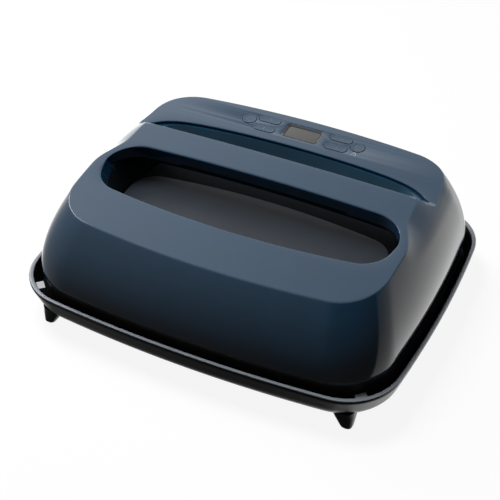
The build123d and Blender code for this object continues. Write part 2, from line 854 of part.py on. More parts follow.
# Display: a framed lens in the panel with the module on the board below it
with BuildPart() as display_bezel:
    with BuildSketch(panel_plane.offset(-panel_thick - bezel_lip_thick)):
        RectangleRounded(display_w + 2 * bezel_lip, display_d + 2 * bezel_lip, display_corner)
    extrude(amount=bezel_lip_thick)
    with BuildSketch(panel_plane.offset(-panel_thick)):
        RectangleRounded(display_w - 2 * bezel_fit, display_d - 2 * bezel_fit, display_corner - bezel_fit)
    extrude(amount=panel_thick)
    with BuildSketch(panel_plane.offset(-display_lens_sink)):
        RectangleRounded(display_lens_w, display_lens_d, display_corner / 2)
    with BuildSketch(panel_plane.offset(0.01)):
        RectangleRounded(display_w - 1, display_d - 1, display_corner - 0.6)
    loft(mode=Mode.SUBTRACT)
    with BuildSketch(panel_plane.offset(-panel_thick - bezel_lip_thick)):
        RectangleRounded(display_lens_w, display_lens_d, display_corner / 2)
    extrude(amount=panel_thick + bezel_lip_thick, mode=Mode.SUBTRACT)
finish_piece(display_bezel.part, "display_bezel")

with BuildPart() as display_window:
    with BuildSketch(panel_plane.offset(-panel_thick - bezel_lip_thick)):
        RectangleRounded(display_lens_w, display_lens_d, display_corner / 2)
    extrude(amount=panel_thick + bezel_lip_thick - display_lens_sink)
finish_piece(display_window.part, "display_window")

with BuildPart() as lcd_module:
    with BuildSketch(panel_plane.offset(-board_depth)):
        RectangleRounded(display_w + 7, display_d + 6, 1)
    extrude(amount=board_depth - panel_thick - bezel_lip_thick - fit_gap)
finish_piece(lcd_module.part, "lcd_module")

# Buttons: caps flush with the panel, a retaining lip under it and a stem over each switch
button_spots = {
    "button_power": (-round_x, round_y),
    "button_start": (round_x, round_y),
    "button_timer": (-pill_x, pill_rows["rear"]),
    "button_temperature": (-pill_x, pill_rows["front"]),
    "button_plus": (pill_x, pill_rows["rear"]),
    "button_minus": (pill_x, pill_rows["front"]),
}
lip_top = -panel_thick - 0.1
stem_low = switch_height - board_depth + button_travel + 0.1


def button_outline(name, grow):
    """The cap's outline in the open sketch: a disc or a pill."""
    if abs(button_spots[name][0]) == round_x:
        Circle(round_r + grow)
    else:
        SlotOverall(pill_w + 2 * grow, pill_d + 2 * grow)


for name, spot in button_spots.items():
    with BuildPart() as button:
        with BuildSketch(panel_plane.offset(lip_top)):
            with Locations(spot):
                button_outline(name, 0)
        extrude(amount=button_proud - lip_top)
        fillet(button.edges().sort_by(lambda edge: panel_plane.to_local_coords(edge.center()).Z)[-1], 0.25)
        with BuildSketch(panel_plane.offset(lip_top - button_lip_thick)):
            with Locations(spot):
                button_outline(name, button_lip)
        extrude(amount=button_lip_thick)
        with BuildSketch(panel_plane.offset(stem_low)):
            with Locations(spot):
                Circle(button_stem_r)
        extrude(amount=lip_top - stem_low)
    finish_piece(button.part, name)

# Control board under the panel with a switch for each button and a buzzer below
with BuildPart() as control_board:
    with BuildSketch(panel_plane.offset(board_low)):
        RectangleRounded(2 * board_half_w, 2 * board_half_d, 3)
    extrude(amount=board_thick)
    add(board_screws, mode=Mode.SUBTRACT)
finish_piece(control_board.part, "control_board")

plunger_h = 0.8
switch_side = 6.0
with BuildPart() as tact_switches:
    with BuildSketch(panel_plane.offset(-board_depth)):
        with Locations(*button_spots.values()):
            RectangleRounded(switch_side, switch_side, 0.6)
    extrude(amount=switch_height - plunger_h)
    with BuildSketch(panel_plane.offset(switch_height - plunger_h - board_depth)):
        with Locations(*button_spots.values()):
            Circle(button_stem_r - 0.3)
    extrude(amount=plunger_h)
finish_piece(tact_switches.part, "tact_switches")

with BuildPart() as buzzer:
    with BuildSketch(panel_plane.offset(board_low)):
        with Locations((-58, 0)):
            Circle(6)
            Circle(1, mode=Mode.SUBTRACT)
    extrude(amount=-5.5)
finish_piece(buzzer.part, "buzzer")

# Power board on the chassis posts, with the parts that switch the heater
board_top = power_board_z + board_thick
row_y = (power_board_y[0] + power_board_y[1]) / 2
with BuildPart() as power_board:
    with BuildSketch(Plane.XY.offset(power_board_z)):
        with Locations(((power_board_x[0] + power_board_x[1]) / 2, row_y)):
            RectangleRounded(power_board_x[1] - power_board_x[0], power_board_y[1] - power_board_y[0], 2)
    extrude(amount=board_thick)
    add(power_screws, mode=Mode.SUBTRACT)
finish_piece(power_board.part, "power_board")

# Mains terminal: a block with two screw wells for the cord's wires
mains_x, well_y = -70.0, 5.0
block_h, well_depth = 12.0, 5.0
with BuildPart() as mains_terminal:
    with BuildSketch(Plane.XY.offset(board_top)):
        with Locations((mains_x, row_y)):
            Rectangle(11, 18)
    extrude(amount=block_h)
    with BuildSketch(Plane.XY.offset(board_top + block_h)):
        with Locations((mains_x, row_y - well_y), (mains_x, row_y + well_y)):
            Circle(2.6)
    extrude(amount=-well_depth, mode=Mode.SUBTRACT)
finish_piece(mains_terminal.part, "mains_terminal")

# Relay of a common size, its case edges chamfered
relay_x, relay_h = -50.0, 15.5
with BuildPart() as relay:
    with BuildSketch(Plane.XY.offset(board_top)):
        with Locations((relay_x, row_y)):
            Rectangle(19, 15.5)
    extrude(amount=relay_h)
    chamfer(relay.edges().group_by(Axis.Z)[-1], 0.8)
finish_piece(relay.part, "relay")

# Transformer: an upright core with its coil round the middle
transformer_x, core_h = -24.0, 20.0
coil_low, coil_h = 4.0, 12.0
with BuildPart() as transformer:
    with BuildSketch(Plane.XY.offset(board_top)):
        with Locations((transformer_x, row_y)):
            Rectangle(24, 8)
    extrude(amount=core_h)
    with BuildSketch(Plane.XY.offset(board_top + coil_low)):
        with Locations((transformer_x, row_y)):
            RectangleRounded(16, 18, 3)
    extrude(amount=coil_h)
finish_piece(transformer.part, "transformer")

# Smoothing capacitor: an upright can
capacitor_x, can_r, can_h = -2.0, 6.3, 18.0
with BuildPart() as capacitor:
    with BuildSketch(Plane.XY.offset(board_top)):
        with Locations((capacitor_x, row_y)):
            Circle(can_r)
    extrude(amount=can_h)
    fillet(capacitor.edges().group_by(Axis.Z)[-1], 0.8)
finish_piece(capacitor.part, "capacitor")

# Finned heatsink of the heater switch
fin_count = 6
fin_pitch = 3.6
fin_h = 22.0
heatsink_x = 32.0
with BuildPart() as triac_heatsink:
    with BuildSketch(Plane.XY.offset(board_top)):
        with Locations((heatsink_x, row_y + 6)):
            Rectangle(fin_pitch * fin_count, 3)
        with Locations((heatsink_x, row_y)):
            with GridLocations(fin_pitch, 0, fin_count, 1):
                Rectangle(1.2, 12)
    extrude(amount=fin_h)
finish_piece(triac_heatsink.part, "triac_heatsink")

# Ribbon between the two boards
ribbon_x = 14.0
ribbon_bottom = board_top
ribbon_top = panel_plane_z(row_y, -board_low * math.hypot(1, panel_slope))
ribbon_middle = (ribbon_bottom + ribbon_top) / 2
far_y = row_y + ribbon_thick
far_top = ribbon_top + panel_slope * ribbon_thick
with BuildPart() as control_ribbon:
    with BuildSketch(Plane.YZ.offset(ribbon_x)):
        with BuildLine() as line:
            ThreePointArc((row_y, ribbon_bottom), (row_y - ribbon_bow, ribbon_middle), (row_y, ribbon_top))
            Line((row_y, ribbon_top), (far_y, far_top))
            ThreePointArc((far_y, far_top), (far_y - ribbon_bow, ribbon_middle), (far_y, ribbon_bottom))
            Line((far_y, ribbon_bottom), (row_y, ribbon_bottom))
        make_face(line.edges())
    extrude(amount=ribbon_w / 2, both=True)
finish_piece(control_ribbon.part, "control_ribbon")

# Cord gland in the rear wall, and the clamp on the chassis in line with it
with BuildPart() as cord_gland:
    with BuildSketch(Plane.XZ.offset(-wall_at_gland)):
        with Locations((0, gland_z)):
            Circle(gland_flange_r)
    extrude(amount=3, both=True)
    add(wall_body(), mode=Mode.SUBTRACT)
    with BuildSketch(Plane.XZ.offset(-wall_at_gland - 1)):
        with Locations((0, gland_z)):
            Circle(gland_r)
    extrude(amount=shell_wall + 4)
    with BuildSketch(Plane.XZ.offset(-wall_at_gland - 4)):
        with Locations((0, gland_z)):
            Circle(gland_bore_r)
    extrude(amount=20, mode=Mode.SUBTRACT)
finish_piece(cord_gland.part, "cord_gland")

clamp_y = boss_rear_y
clamp_top = gland_z + 6
with BuildPart() as cord_clamp:
    with BuildSketch(Plane.XZ.offset(-clamp_y)):
        with Locations((0, (chassis_top + clamp_top) / 2)):
            Rectangle(16, clamp_top - chassis_top)
        with Locations((0, gland_z)):
            Circle(gland_bore_r, mode=Mode.SUBTRACT)
    extrude(amount=3, both=True)
finish_piece(cord_clamp.part, "cord_clamp")
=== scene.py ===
"""Looks of a handheld heat press in its base tray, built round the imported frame."""

import json
import logging
import math
from dataclasses import dataclass, field
from enum import Enum
from typing import Any, Callable, Iterable, Sequence

import bmesh
import bpy
from mathutils import Matrix, Vector
from mathutils.geometry import tessellate_polygon


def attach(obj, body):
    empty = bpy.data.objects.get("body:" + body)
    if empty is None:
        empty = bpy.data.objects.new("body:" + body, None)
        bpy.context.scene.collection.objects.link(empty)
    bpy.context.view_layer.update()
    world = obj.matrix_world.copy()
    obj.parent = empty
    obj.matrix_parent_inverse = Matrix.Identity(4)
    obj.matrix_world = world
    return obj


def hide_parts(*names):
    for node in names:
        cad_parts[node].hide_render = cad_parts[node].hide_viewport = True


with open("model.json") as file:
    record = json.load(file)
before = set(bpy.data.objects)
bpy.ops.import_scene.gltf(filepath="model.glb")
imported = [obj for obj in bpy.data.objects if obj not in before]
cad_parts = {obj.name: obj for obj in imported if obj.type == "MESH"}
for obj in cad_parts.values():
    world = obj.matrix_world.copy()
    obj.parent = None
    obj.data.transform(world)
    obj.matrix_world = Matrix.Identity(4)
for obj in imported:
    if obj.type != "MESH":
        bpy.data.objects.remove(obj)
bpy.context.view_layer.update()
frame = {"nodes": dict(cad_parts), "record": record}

MM = 0.001
SHARP_ANGLE = math.radians(30.0)
SAME_POINT = 2e-6
NO_LENGTH = 1e-7
NO_AREA = 1e-7
LOG = logging.getLogger("heat_press")

Spot = tuple[float, float, float]
Pair = tuple[float, float]
Slot = tuple[str, float]


# Finishes


@dataclass
class Nodes:
    """Adds nodes to one tree and joins them."""

    tree: bpy.types.NodeTree

    def put(self, socket: bpy.types.NodeSocket, value: Any) -> None:
        """Link a socket to another one, or set its value.

        Args:
            socket: The input.
            value: Another node's output, or the value itself.
        """
        if isinstance(value, bpy.types.NodeSocket):
            self.tree.links.new(value, socket)
        else:
            socket.default_value = value

    def add(self, kind: str, **inputs: Any) -> bpy.types.Node:
        """A new node with its inputs set or linked by name.

        Args:
            kind: The node's type.
            inputs: Values or sockets; a low line in a name stands for a space.

        Returns:
            The node.
        """
        node = self.tree.nodes.new(kind)
        for name, value in inputs.items():
            self.put(node.inputs[name.replace("_", " ")], value)
        return node

    def math(self, work: str, *values: Any) -> bpy.types.NodeSocket:
        """A Math node over values or sockets.

        Args:
            work: The node's operation.
            values: Its inputs in order.

        Returns:
            Its result.
        """
        node = self.tree.nodes.new("ShaderNodeMath")
        node.operation = work
        for socket, value in zip(node.inputs, values):
            self.put(socket, value)
        return node.outputs[0]


class Grain(Enum):
    """The fine surface that a finish shows."""

    MOULDED = "moulded"
    WOVEN = "woven"
    BRUSHED = "brushed"
    CAST = "cast"


@dataclass(frozen=True)
class Finish:
    """One finish as a procedural material: colour, gloss and a fine grain."""

    name: str
    colour: tuple[float, float, float]
    rough: float = 0.4
    metal: float = 0.0
    coat: float = 0.0
    coat_rough: float = 0.05
    ior: float = 1.5
    grain: Grain = Grain.MOULDED
    grain_scale: float = 900.0
    grain_depth: float = 0.04
    mottle: float = 0.06
    rough_spread: float = 0.08
    spread_scale: float = 35.0
    spread_stops: Pair = (0.3, 0.7)
    bump_depth: float = 0.0004

    def material(self) -> bpy.types.Material:
        """Build the node material once and return it afterwards.

        Returns:
            The material of this finish.
        """
        ready = bpy.data.materials.get(self.name)
        if ready:
            return ready
        made = bpy.data.materials.new(self.name)
        made.use_nodes = True
        made.diffuse_color = (*self.colour, 1.0)
        tree = made.node_tree
        shader = tree.nodes["Principled BSDF"]
        for socket, value in (("Metallic", self.metal), ("Coat Weight", self.coat),
                              ("Coat Roughness", self.coat_rough), ("IOR", self.ior)):
            shader.inputs[socket].default_value = value
        nodes = Nodes(tree)
        place = nodes.add("ShaderNodeTexCoord").outputs["Object"]
        noise = nodes.add("ShaderNodeTexNoise", Vector=place, Scale=self.spread_scale, Detail=3.0)
        spread = noise.outputs["Fac"]
        self._tint(nodes, shader, spread)
        self._gloss(nodes, shader, spread)
        bump = nodes.add("ShaderNodeBump", Strength=self.grain_depth, Distance=self.bump_depth,
                         Height=self._grain(nodes, place))
        tree.links.new(bump.outputs["Normal"], shader.inputs["Normal"])
        return made

    def _grain(self, nodes: Nodes, place: bpy.types.NodeSocket) -> bpy.types.NodeSocket:
        """The height pattern of the finish's grain.

        Args:
            nodes: The material's tree.
            place: The object's own coordinates.

        Returns:
            The socket that the bump reads.
        """
        if self.grain is Grain.WOVEN:
            threads = []
            for direction in ("X", "Y"):
                wave = nodes.add("ShaderNodeTexWave", Vector=place, Scale=self.grain_scale,
                                 Distortion=0.6)
                wave.bands_direction = direction
                threads.append(wave.outputs["Fac"])
            return nodes.math("MULTIPLY", *threads)
        if self.grain is Grain.BRUSHED:
            place = nodes.add("ShaderNodeMapping", Vector=place,
                              Scale=(0.03, 1.0, 1.0)).outputs["Vector"]
        detail = 2.0 if self.grain is Grain.MOULDED else 6.0
        noise = nodes.add("ShaderNodeTexNoise", Vector=place, Scale=self.grain_scale, Detail=detail)
        return noise.outputs["Fac"]

    def _tint(self, nodes: Nodes, shader: bpy.types.Node, spread: bpy.types.NodeSocket) -> None:
        """Let the colour vary a little over the surface.

        Args:
            nodes: The material's tree.
            shader: The Principled shader.
            spread: A slow noise.
        """
        ramp = nodes.add("ShaderNodeValToRGB", Fac=spread)
        shares = (1.0 - self.mottle, 1.0 + self.mottle)
        for stop, place, share in zip(ramp.color_ramp.elements, self.spread_stops, shares):
            stop.color = (*(min(1.0, part * share) for part in self.colour), 1.0)
            stop.position = place
        nodes.put(shader.inputs["Base Color"], ramp.outputs["Color"])

    def _gloss(self, nodes: Nodes, shader: bpy.types.Node, spread: bpy.types.NodeSocket) -> None:
        """Let the roughness vary a little over the surface.

        Args:
            nodes: The material's tree.
            shader: The Principled shader.
            spread: A slow noise.
        """
        gloss = nodes.add("ShaderNodeMapRange", Value=spread,
                          To_Min=self.rough * (1.0 - self.rough_spread),
                          To_Max=self.rough * (1.0 + self.rough_spread))
        nodes.put(shader.inputs["Roughness"], gloss.outputs["Result"])


SHELL = Finish("shell_navy", (0.0065, 0.046, 0.098), 0.085, grain_depth=0.012)
# Near-black, rough and faintly reflective: the dark insert's colour, which inside the well also
# paints the shade that falls below the rim and under the handle.
WELL_DARK_AND_SHADE = Finish("well_dark_insert_and_painted_shade", (0.004, 0.006, 0.009), 0.7, ior=1.2, grain_depth=0.05)
# Lighter navy that paints the light and reflection seen on the slot's rear wall behind the handle.
SLOT_PAINTED_SHEEN = Finish("slot_navy_painted_sheen", (0.040, 0.095, 0.150), 0.2, grain_depth=0.012)
GRIP_SOFT = Finish("grip_charcoal", (0.026, 0.032, 0.041), 0.5, grain_scale=1600.0,
                   grain_depth=0.12)
TRAY = Finish("tray_black", (0.005, 0.005, 0.0055), 0.34, ior=1.3, grain_scale=1400.0,
              grain_depth=0.08)
# Light grey painted highlight for the top of the tray's rim.
TRAY_RIM_HIGHLIGHT = Finish("tray_rim_painted_highlight", (0.21, 0.235, 0.27), 0.30, grain_scale=1400.0, grain_depth=0.04)
SKIRT = Finish("skirt_brown_black", (0.034, 0.030, 0.031), 0.38, grain_scale=1200.0,
               grain_depth=0.06)
RUBBER = Finish("foot_rubber", (0.02, 0.02, 0.02), 0.8, grain_scale=2000.0, grain_depth=0.2)
GUIDE = Finish("guide_silicone", (0.15, 0.15, 0.16), 0.3, grain_scale=1500.0, grain_depth=0.1)
REST_MAT = Finish("rest_mat_weave", (0.075, 0.075, 0.08), 0.9, grain=Grain.WOVEN, grain_scale=180.0,
                  grain_depth=0.7)
ALUMINIUM = Finish("plate_aluminium", (0.62, 0.62, 0.64), 0.32, metal=1.0, grain=Grain.CAST,
                   grain_depth=0.1)
HEATER = Finish("heater_tube", (0.30, 0.27, 0.24), 0.4, metal=1.0, grain=Grain.BRUSHED,
                grain_depth=0.15)
CERAMIC = Finish("terminal_ceramic", (0.78, 0.77, 0.72), 0.35, grain_depth=0.06)
STEEL = Finish("screw_steel", (0.55, 0.55, 0.56), 0.28, metal=1.0, grain=Grain.BRUSHED,
               grain_depth=0.1)
SHEET = Finish("galvanised_sheet", (0.52, 0.53, 0.55), 0.38, metal=1.0, grain=Grain.CAST,
               grain_scale=220.0,
               grain_depth=0.08, mottle=0.15)
BLANKET = Finish("glass_fibre_mat", (0.74, 0.72, 0.64), 0.95, grain=Grain.CAST, grain_scale=700.0,
                 grain_depth=0.8)
FRAME_GLOSS = Finish("display_frame", (0.085, 0.095, 0.11), 0.2, coat=0.5, grain_depth=0.01)
LENS = Finish("display_lens", (0.040, 0.039, 0.035), 0.22, coat=0.2, coat_rough=0.12,
              grain_depth=0.01)
BLACK_PART = Finish("moulded_black", (0.022, 0.022, 0.023), 0.45, grain_depth=0.08)
BOARD = Finish("board_green", (0.02, 0.12, 0.05), 0.4, coat=0.3, grain_scale=500.0,
               grain_depth=0.05)
GREY_PART = Finish("terminal_grey", (0.42, 0.42, 0.42), 0.5, grain_depth=0.08)
LEAD = Finish("lead_sleeve", (0.55, 0.17, 0.04), 0.5, grain=Grain.WOVEN, grain_scale=500.0,
              grain_depth=0.3)
SIGN = Finish("sign_ink", (0.105, 0.135, 0.165), 0.45, grain_depth=0.02)
SIGN_LIGHT = Finish("sign_ink_light", (0.42, 0.45, 0.47), 0.45, grain_depth=0.02)

SLOT_FINISH = {
    "tray_plastic": TRAY,
    "foot_rubber": RUBBER,
    "guide_silicone": GUIDE,
    "rest_fabric": REST_MAT,
    "skirt_plastic": SKIRT,
    "shell_gloss": SHELL,
    # The handle's dark insert colour, which also stands in for painted shade under the handle.
    "handle_plastic": WELL_DARK_AND_SHADE,
    "grip_soft": GRIP_SOFT,
    "plate_aluminium": ALUMINIUM,
    "heater_steel": HEATER,
    "ceramic_white": CERAMIC,
    "screw_steel": STEEL,
    "sheet_steel": SHEET,
    "insulation": BLANKET,
    "display_frame": FRAME_GLOSS,
    "display_glass": LENS,
    "module_dark": BLACK_PART,
    "board_green": BOARD,
    "terminal_grey": GREY_PART,
    "lead_sleeve": LEAD,
}


# Meshes


class Draft:
    """Points in millimetres and faces over them, made into one clean object in metres."""

    def __init__(self) -> None:
        """Start with nothing."""
        self.points: list[Spot] = []
        self.faces: list[tuple[int, ...]] = []
        self.flat: set[int] = set()

    def row(self, points: Iterable[Sequence[float]]) -> list[int]:
        """Add points.

        Args:
            points: Places in millimetres.

        Returns:
            The new points' numbers.
        """
        first = len(self.points)
        self.points.extend(tuple(point) for point in points)
        return list(range(first, len(self.points)))

    def strip(self, low: Sequence[int], high: Sequence[int], closed: bool = True) -> None:
        """Join two rows of equal length with four-sided faces.

        Args:
            low: The first row.
            high: The row above it, seen from outside with the rows running to the right.
            closed: Whether the rows run round and meet.
        """
        count = len(low)
        for here in range(count if closed else count - 1):
            after = (here + 1) % count
            self.faces.append((low[here], low[after], high[after], high[here]))

    def rows(self, stack: Sequence[Sequence[Sequence[float]]],
             closed: bool = True) -> list[list[int]]:
        """Add several rows of points and join each to the next.

        Args:
            stack: Rows of places in millimetres.
            closed: Whether the rows run round and meet.

        Returns:
            The numbers of each row.
        """
        numbers = [self.row(line) for line in stack]
        for low, high in zip(numbers, numbers[1:]):
            self.strip(low, high, closed)
        return numbers

    def fill(self, loops: Sequence[Sequence[int]], flip: bool = False) -> None:
        """Fill the plane between an outer loop and the holes in it.

        Args:
            loops: The outer loop's numbers first, then each hole's.
            flip: Whether the faces look the other way.
        """
        order = [number for loop in loops for number in loop]
        places = [[Vector(self.points[number]) for number in loop] for loop in loops]
        for corner in tessellate_polygon(places):
            face = tuple(order[number] for number in corner)
            a, b, c = (Vector(self.points[number]) for number in face)
            if (b - a).cross(c - a).length < NO_AREA:
                continue
            self.flat.add(len(self.faces))
            self.faces.append(face[::-1] if flip else face)

    def cap(self, ring: Sequence[int]) -> None:
        """Close a ring with one flat face."""
        self.flat.add(len(self.faces))
        self.faces.append(tuple(ring))

    def tower(self, stack: Sequence[Sequence[Sequence[float]]], ring: bool = False) -> None:
        """Add closed rows and close the solid that they make.

        Args:
            stack: Rows of places in millimetres.
            ring: Whether the last row joins the first; otherwise both ends are capped.
        """
        numbers = self.rows(stack)
        if ring:
            self.strip(numbers[-1], numbers[0])
        else:
            self.cap(numbers[0][::-1])
            self.cap(numbers[-1])

    def bridge(self, left: Sequence[int], right: Sequence[int]) -> None:
        """Join two rows of different length that both run to the rear.

        Args:
            left: The one row's numbers.
            right: The other's.
        """
        near, far = 0, 0
        while near < len(left) - 1 or far < len(right) - 1:
            step_left = far == len(right) - 1
            if not step_left and near < len(left) - 1:
                step_left = self.points[left[near + 1]][1] <= self.points[right[far + 1]][1]
            if step_left:
                self.faces.append((left[near], right[far], left[near + 1]))
                near += 1
            else:
                self.faces.append((left[near], right[far], right[far + 1]))
                far += 1

    def build(self, name: str, finish: Finish, up_face: bool = False) -> bpy.types.Object:
        """Make the object: doubles merged, faces looking outwards, smooth but for the flat fills.

        Args:
            name: The piece's name.
            finish: Its finish.
            up_face: For an open sheet, turn it so that its highest face looks up.

        Returns:
            The object at the origin, in metres.
        """
        mesh = bpy.data.meshes.new(name)
        mesh.from_pydata([Vector(point) * MM for point in self.points], [], self.faces)
        for number, face in enumerate(mesh.polygons):
            face.use_smooth = number not in self.flat
        work = bmesh.new()
        work.from_mesh(mesh)
        bmesh.ops.remove_doubles(work, verts=work.verts, dist=SAME_POINT)
        bmesh.ops.dissolve_degenerate(work, edges=work.edges, dist=NO_LENGTH)
        bmesh.ops.recalc_face_normals(work, faces=work.faces)
        if up_face:
            def height(face: bmesh.types.BMFace) -> float:
                """The face's height, level faces a little ahead."""
                return face.calc_center_median().z + 0.001 * abs(face.normal.z)

            top = max(work.faces, key=height)
            if top.normal.z < 0:
                bmesh.ops.reverse_faces(work, faces=work.faces)
        loose = [vert for vert in work.verts if not vert.link_faces]
        bmesh.ops.delete(work, geom=loose, context="VERTS")
        work.to_mesh(mesh)
        work.free()
        mesh.set_sharp_from_angle(angle=SHARP_ANGLE)
        mesh.materials.append(finish.material())
        piece = bpy.data.objects.new(name, mesh)
        bpy.context.scene.collection.objects.link(piece)
        return piece


def mix(a: float, b: float, share: float) -> float:
    """The number that lies a share of the way from a to b."""
    return a + (b - a) * share


def smooth_step(share: float) -> float:
    """A share eased at both ends."""
    share = min(1.0, max(0.0, share))
    return share * share * (3.0 - 2.0 * share)


def ease(value: float, span: Pair) -> float:
    """How far a value is through a span, as an eased share."""
    return smooth_step((value - span[0]) / (span[1] - span[0]))


def bend(low: Vector, corner: Vector, high: Vector, steps: int) -> list[Vector]:
    """Points of a rounded corner.

    Args:
        low: Where the rounding starts.
        corner: The sharp corner that it rounds.
        high: Where it ends.
        steps: Number of straight pieces.

    Returns:
        The points from low to high.
    """
    line = []
    for step in range(steps + 1):
        t = step / steps
        line.append(low * (1 - t) ** 2 + corner * 2 * t * (1 - t) + high * t * t)
    return line


def loop_sides(points: Sequence[Vector]) -> list[Vector]:
    """The level directions that lead inwards from a closed loop.

    Args:
        points: The loop, anticlockwise.

    Returns:
        One direction for each point.
    """
    count = len(points)
    sides = []
    for here in range(count):
        along = points[(here + 1) % count] - points[here - 1]
        sides.append(Vector((-along.y, along.x, 0.0)).normalized())
    return sides


# Outlines


END_STEPS = 22
CORNER_STEPS = 16
SIDE_STEPS = 40
FRONT_LEAD_STEPS = 5
REAR_LEAD_STEPS = 4
STOP_GAP = 1.0
LEAD_BASE = 1000.0
LEAD_SHIFT = 500.0
PLANE_GUESS = 105.0
PLANE_ROUNDS = 14


@dataclass(frozen=True)
class Outline:
    """A rectangle whose four sides bow outwards, with rounded corners, in millimetres."""

    half_w: float
    front: float
    rear: float
    corner: float
    end_bow: float = 10.5
    side_bow: float = 8.0

    def _arcs(self) -> tuple[float, float, float, float, float]:
        """Radii and centres of the arcs.

        Returns:
            End radius, side radius, side centre x, side centre y and half the run of the side.
        """
        run_x = self.half_w - self.side_bow
        run_y = (self.rear - self.front) / 2 - self.end_bow
        end_r = (run_x ** 2 + self.end_bow ** 2) / (2 * self.end_bow)
        side_r = (run_y ** 2 + self.side_bow ** 2) / (2 * self.side_bow)
        return end_r, side_r, self.half_w - side_r, (self.front + self.rear) / 2, run_y

    def _corner(self, end_sign: float) -> tuple[float, float, float, float]:
        """Centre of a right-hand corner and the angles where it meets the end and the side.

        Args:
            end_sign: -1 for the front corner, 1 for the rear one.

        Returns:
            Centre x, centre y, angle at the end arc and angle at the side arc.
        """
        end_r, side_r, side_x, side_y, _ = self._arcs()
        end_y = self.front + end_r if end_sign < 0 else self.rear - end_r
        reach_a, reach_b = end_r - self.corner, side_r - self.corner
        gap_x, gap_y = side_x, side_y - end_y
        gap = math.hypot(gap_x, gap_y)
        along = (reach_a ** 2 - reach_b ** 2 + gap ** 2) / (2 * gap)
        off = math.sqrt(max(0.0, reach_a ** 2 - along ** 2))
        ux, uy = gap_x / gap, gap_y / gap
        spots = [(ux * along - uy * off * s, end_y + uy * along + ux * off * s) for s in (1, -1)]
        x, y = max(spots, key=lambda spot: spot[0] + end_sign * spot[1])
        return x, y, math.atan2(y - end_y, x), math.atan2(y - side_y, x - side_x)

    def at(self, slot: Slot) -> Pair:
        """The point of the right-hand half at a slot.

        Args:
            slot: The stretch's name and the share along it. On "side" it is the depth y itself.
                A lead runs from a corner to the side's fixed points and adds to its share
                LEAD_BASE * (the depth that it ends at + LEAD_SHIFT).

        Returns:
            The point's x and y.
        """
        kind, share = slot
        end_r, side_r, side_x, side_y, _ = self._arcs()
        if kind == "side":
            return side_x + math.sqrt(side_r ** 2 - (share - side_y) ** 2), share
        end_sign = -1.0 if kind in ("front", "front_corner", "front_lead") else 1.0
        x, y, end_angle, side_angle = self._corner(end_sign)
        if kind in ("front", "rear"):
            middle = -math.pi / 2 if kind == "front" else math.pi / 2
            angle = mix(middle, end_angle, share)
            centre = self.front + end_r if kind == "front" else self.rear - end_r
            return end_r * math.cos(angle), centre + end_r * math.sin(angle)
        if kind in ("front_corner", "rear_corner"):
            angle = mix(end_angle, side_angle, share)
            return x + self.corner * math.cos(angle), y + self.corner * math.sin(angle)
        stop, share = divmod(share, LEAD_BASE)
        depth = mix(side_y + side_r * math.sin(side_angle), stop - LEAD_SHIFT, share)
        return side_x + math.sqrt(side_r ** 2 - (depth - side_y) ** 2), depth


def half_slots(side_from: float, side_to: float, stops: Iterable[float] = ()) -> list[Slot]:
    """Slots along the right-hand half of an outline, from the front's middle to the rear's.

    Args:
        side_from: Depth where the side's fixed points start.
        side_to: Depth where they end.
        stops: Depths that must be among them, more than STOP_GAP apart.

    Returns:
        The slots.
    """
    front_lead = LEAD_BASE * (side_from + LEAD_SHIFT)
    rear_lead = LEAD_BASE * (side_to + LEAD_SHIFT)
    slots = [("front", t / END_STEPS) for t in range(END_STEPS)]
    slots += [("front_corner", t / CORNER_STEPS) for t in range(CORNER_STEPS)]
    slots += [("front_lead", t / FRONT_LEAD_STEPS + front_lead) for t in range(FRONT_LEAD_STEPS)]
    depths = {round(mix(side_from, side_to, t / SIDE_STEPS), 3) for t in range(SIDE_STEPS + 1)}
    for stop in stops:
        kept = {depth for depth in depths if abs(depth - stop) > STOP_GAP}
        depths = kept | (depths & {side_from, side_to}) | {stop}
    slots += [("side", depth) for depth in sorted(depths)]
    rear_steps = range(1, REAR_LEAD_STEPS + 1)
    slots += [("rear_lead", 1 - t / REAR_LEAD_STEPS + rear_lead) for t in rear_steps]
    slots += [("rear_corner", 1 - t / CORNER_STEPS) for t in range(1, CORNER_STEPS + 1)]
    slots += [("rear", 1 - t / END_STEPS) for t in range(1, END_STEPS + 1)]
    return slots


def whole_ring(outline: Outline, slots: Sequence[Slot], z: float) -> list[Spot]:
    """The closed ring of an outline at a height, anticlockwise from the front's middle.

    Args:
        outline: The outline.
        slots: The slots of its right-hand half.
        z: The height.

    Returns:
        The ring's points.
    """
    right = [outline.at(slot) for slot in slots]
    left = [(-x, y) for x, y in right[-2:0:-1]]
    return [(x, y, z) for x, y in right + left]


def on_plane(place: Callable[[Slot, float], tuple[float, float]], slot: Slot,
             plane: Callable[[float], float]) -> Vector:
    """The point of a leaning wall at a slot where it meets a sloping plane.

    Args:
        place: Gives the wall's point at a slot and height.
        slot: The outline's slot.
        plane: Gives the plane's height at a depth.

    Returns:
        The point, in millimetres.
    """
    z = PLANE_GUESS
    for _ in range(PLANE_ROUNDS):
        x, y = place(slot, z)
        z = plane(y)
    return Vector((x, y, z))


def mirrored(points: Iterable[Vector]) -> list[Vector]:
    """The same points on the left-hand side."""
    return [Vector((-point.x, point.y, point.z)) for point in points]


def around(row: Sequence[Vector]) -> list[Vector]:
    """A closed ring from its right-hand half, anticlockwise from the front's middle."""
    return list(row) + mirrored(row[-2:0:-1])


def across(row: Sequence[Vector]) -> list[Vector]:
    """An open row from the left over the front's middle to the right, from its right-hand half."""
    return mirrored(row[:0:-1]) + list(row)


# The press's form, shared by its pieces


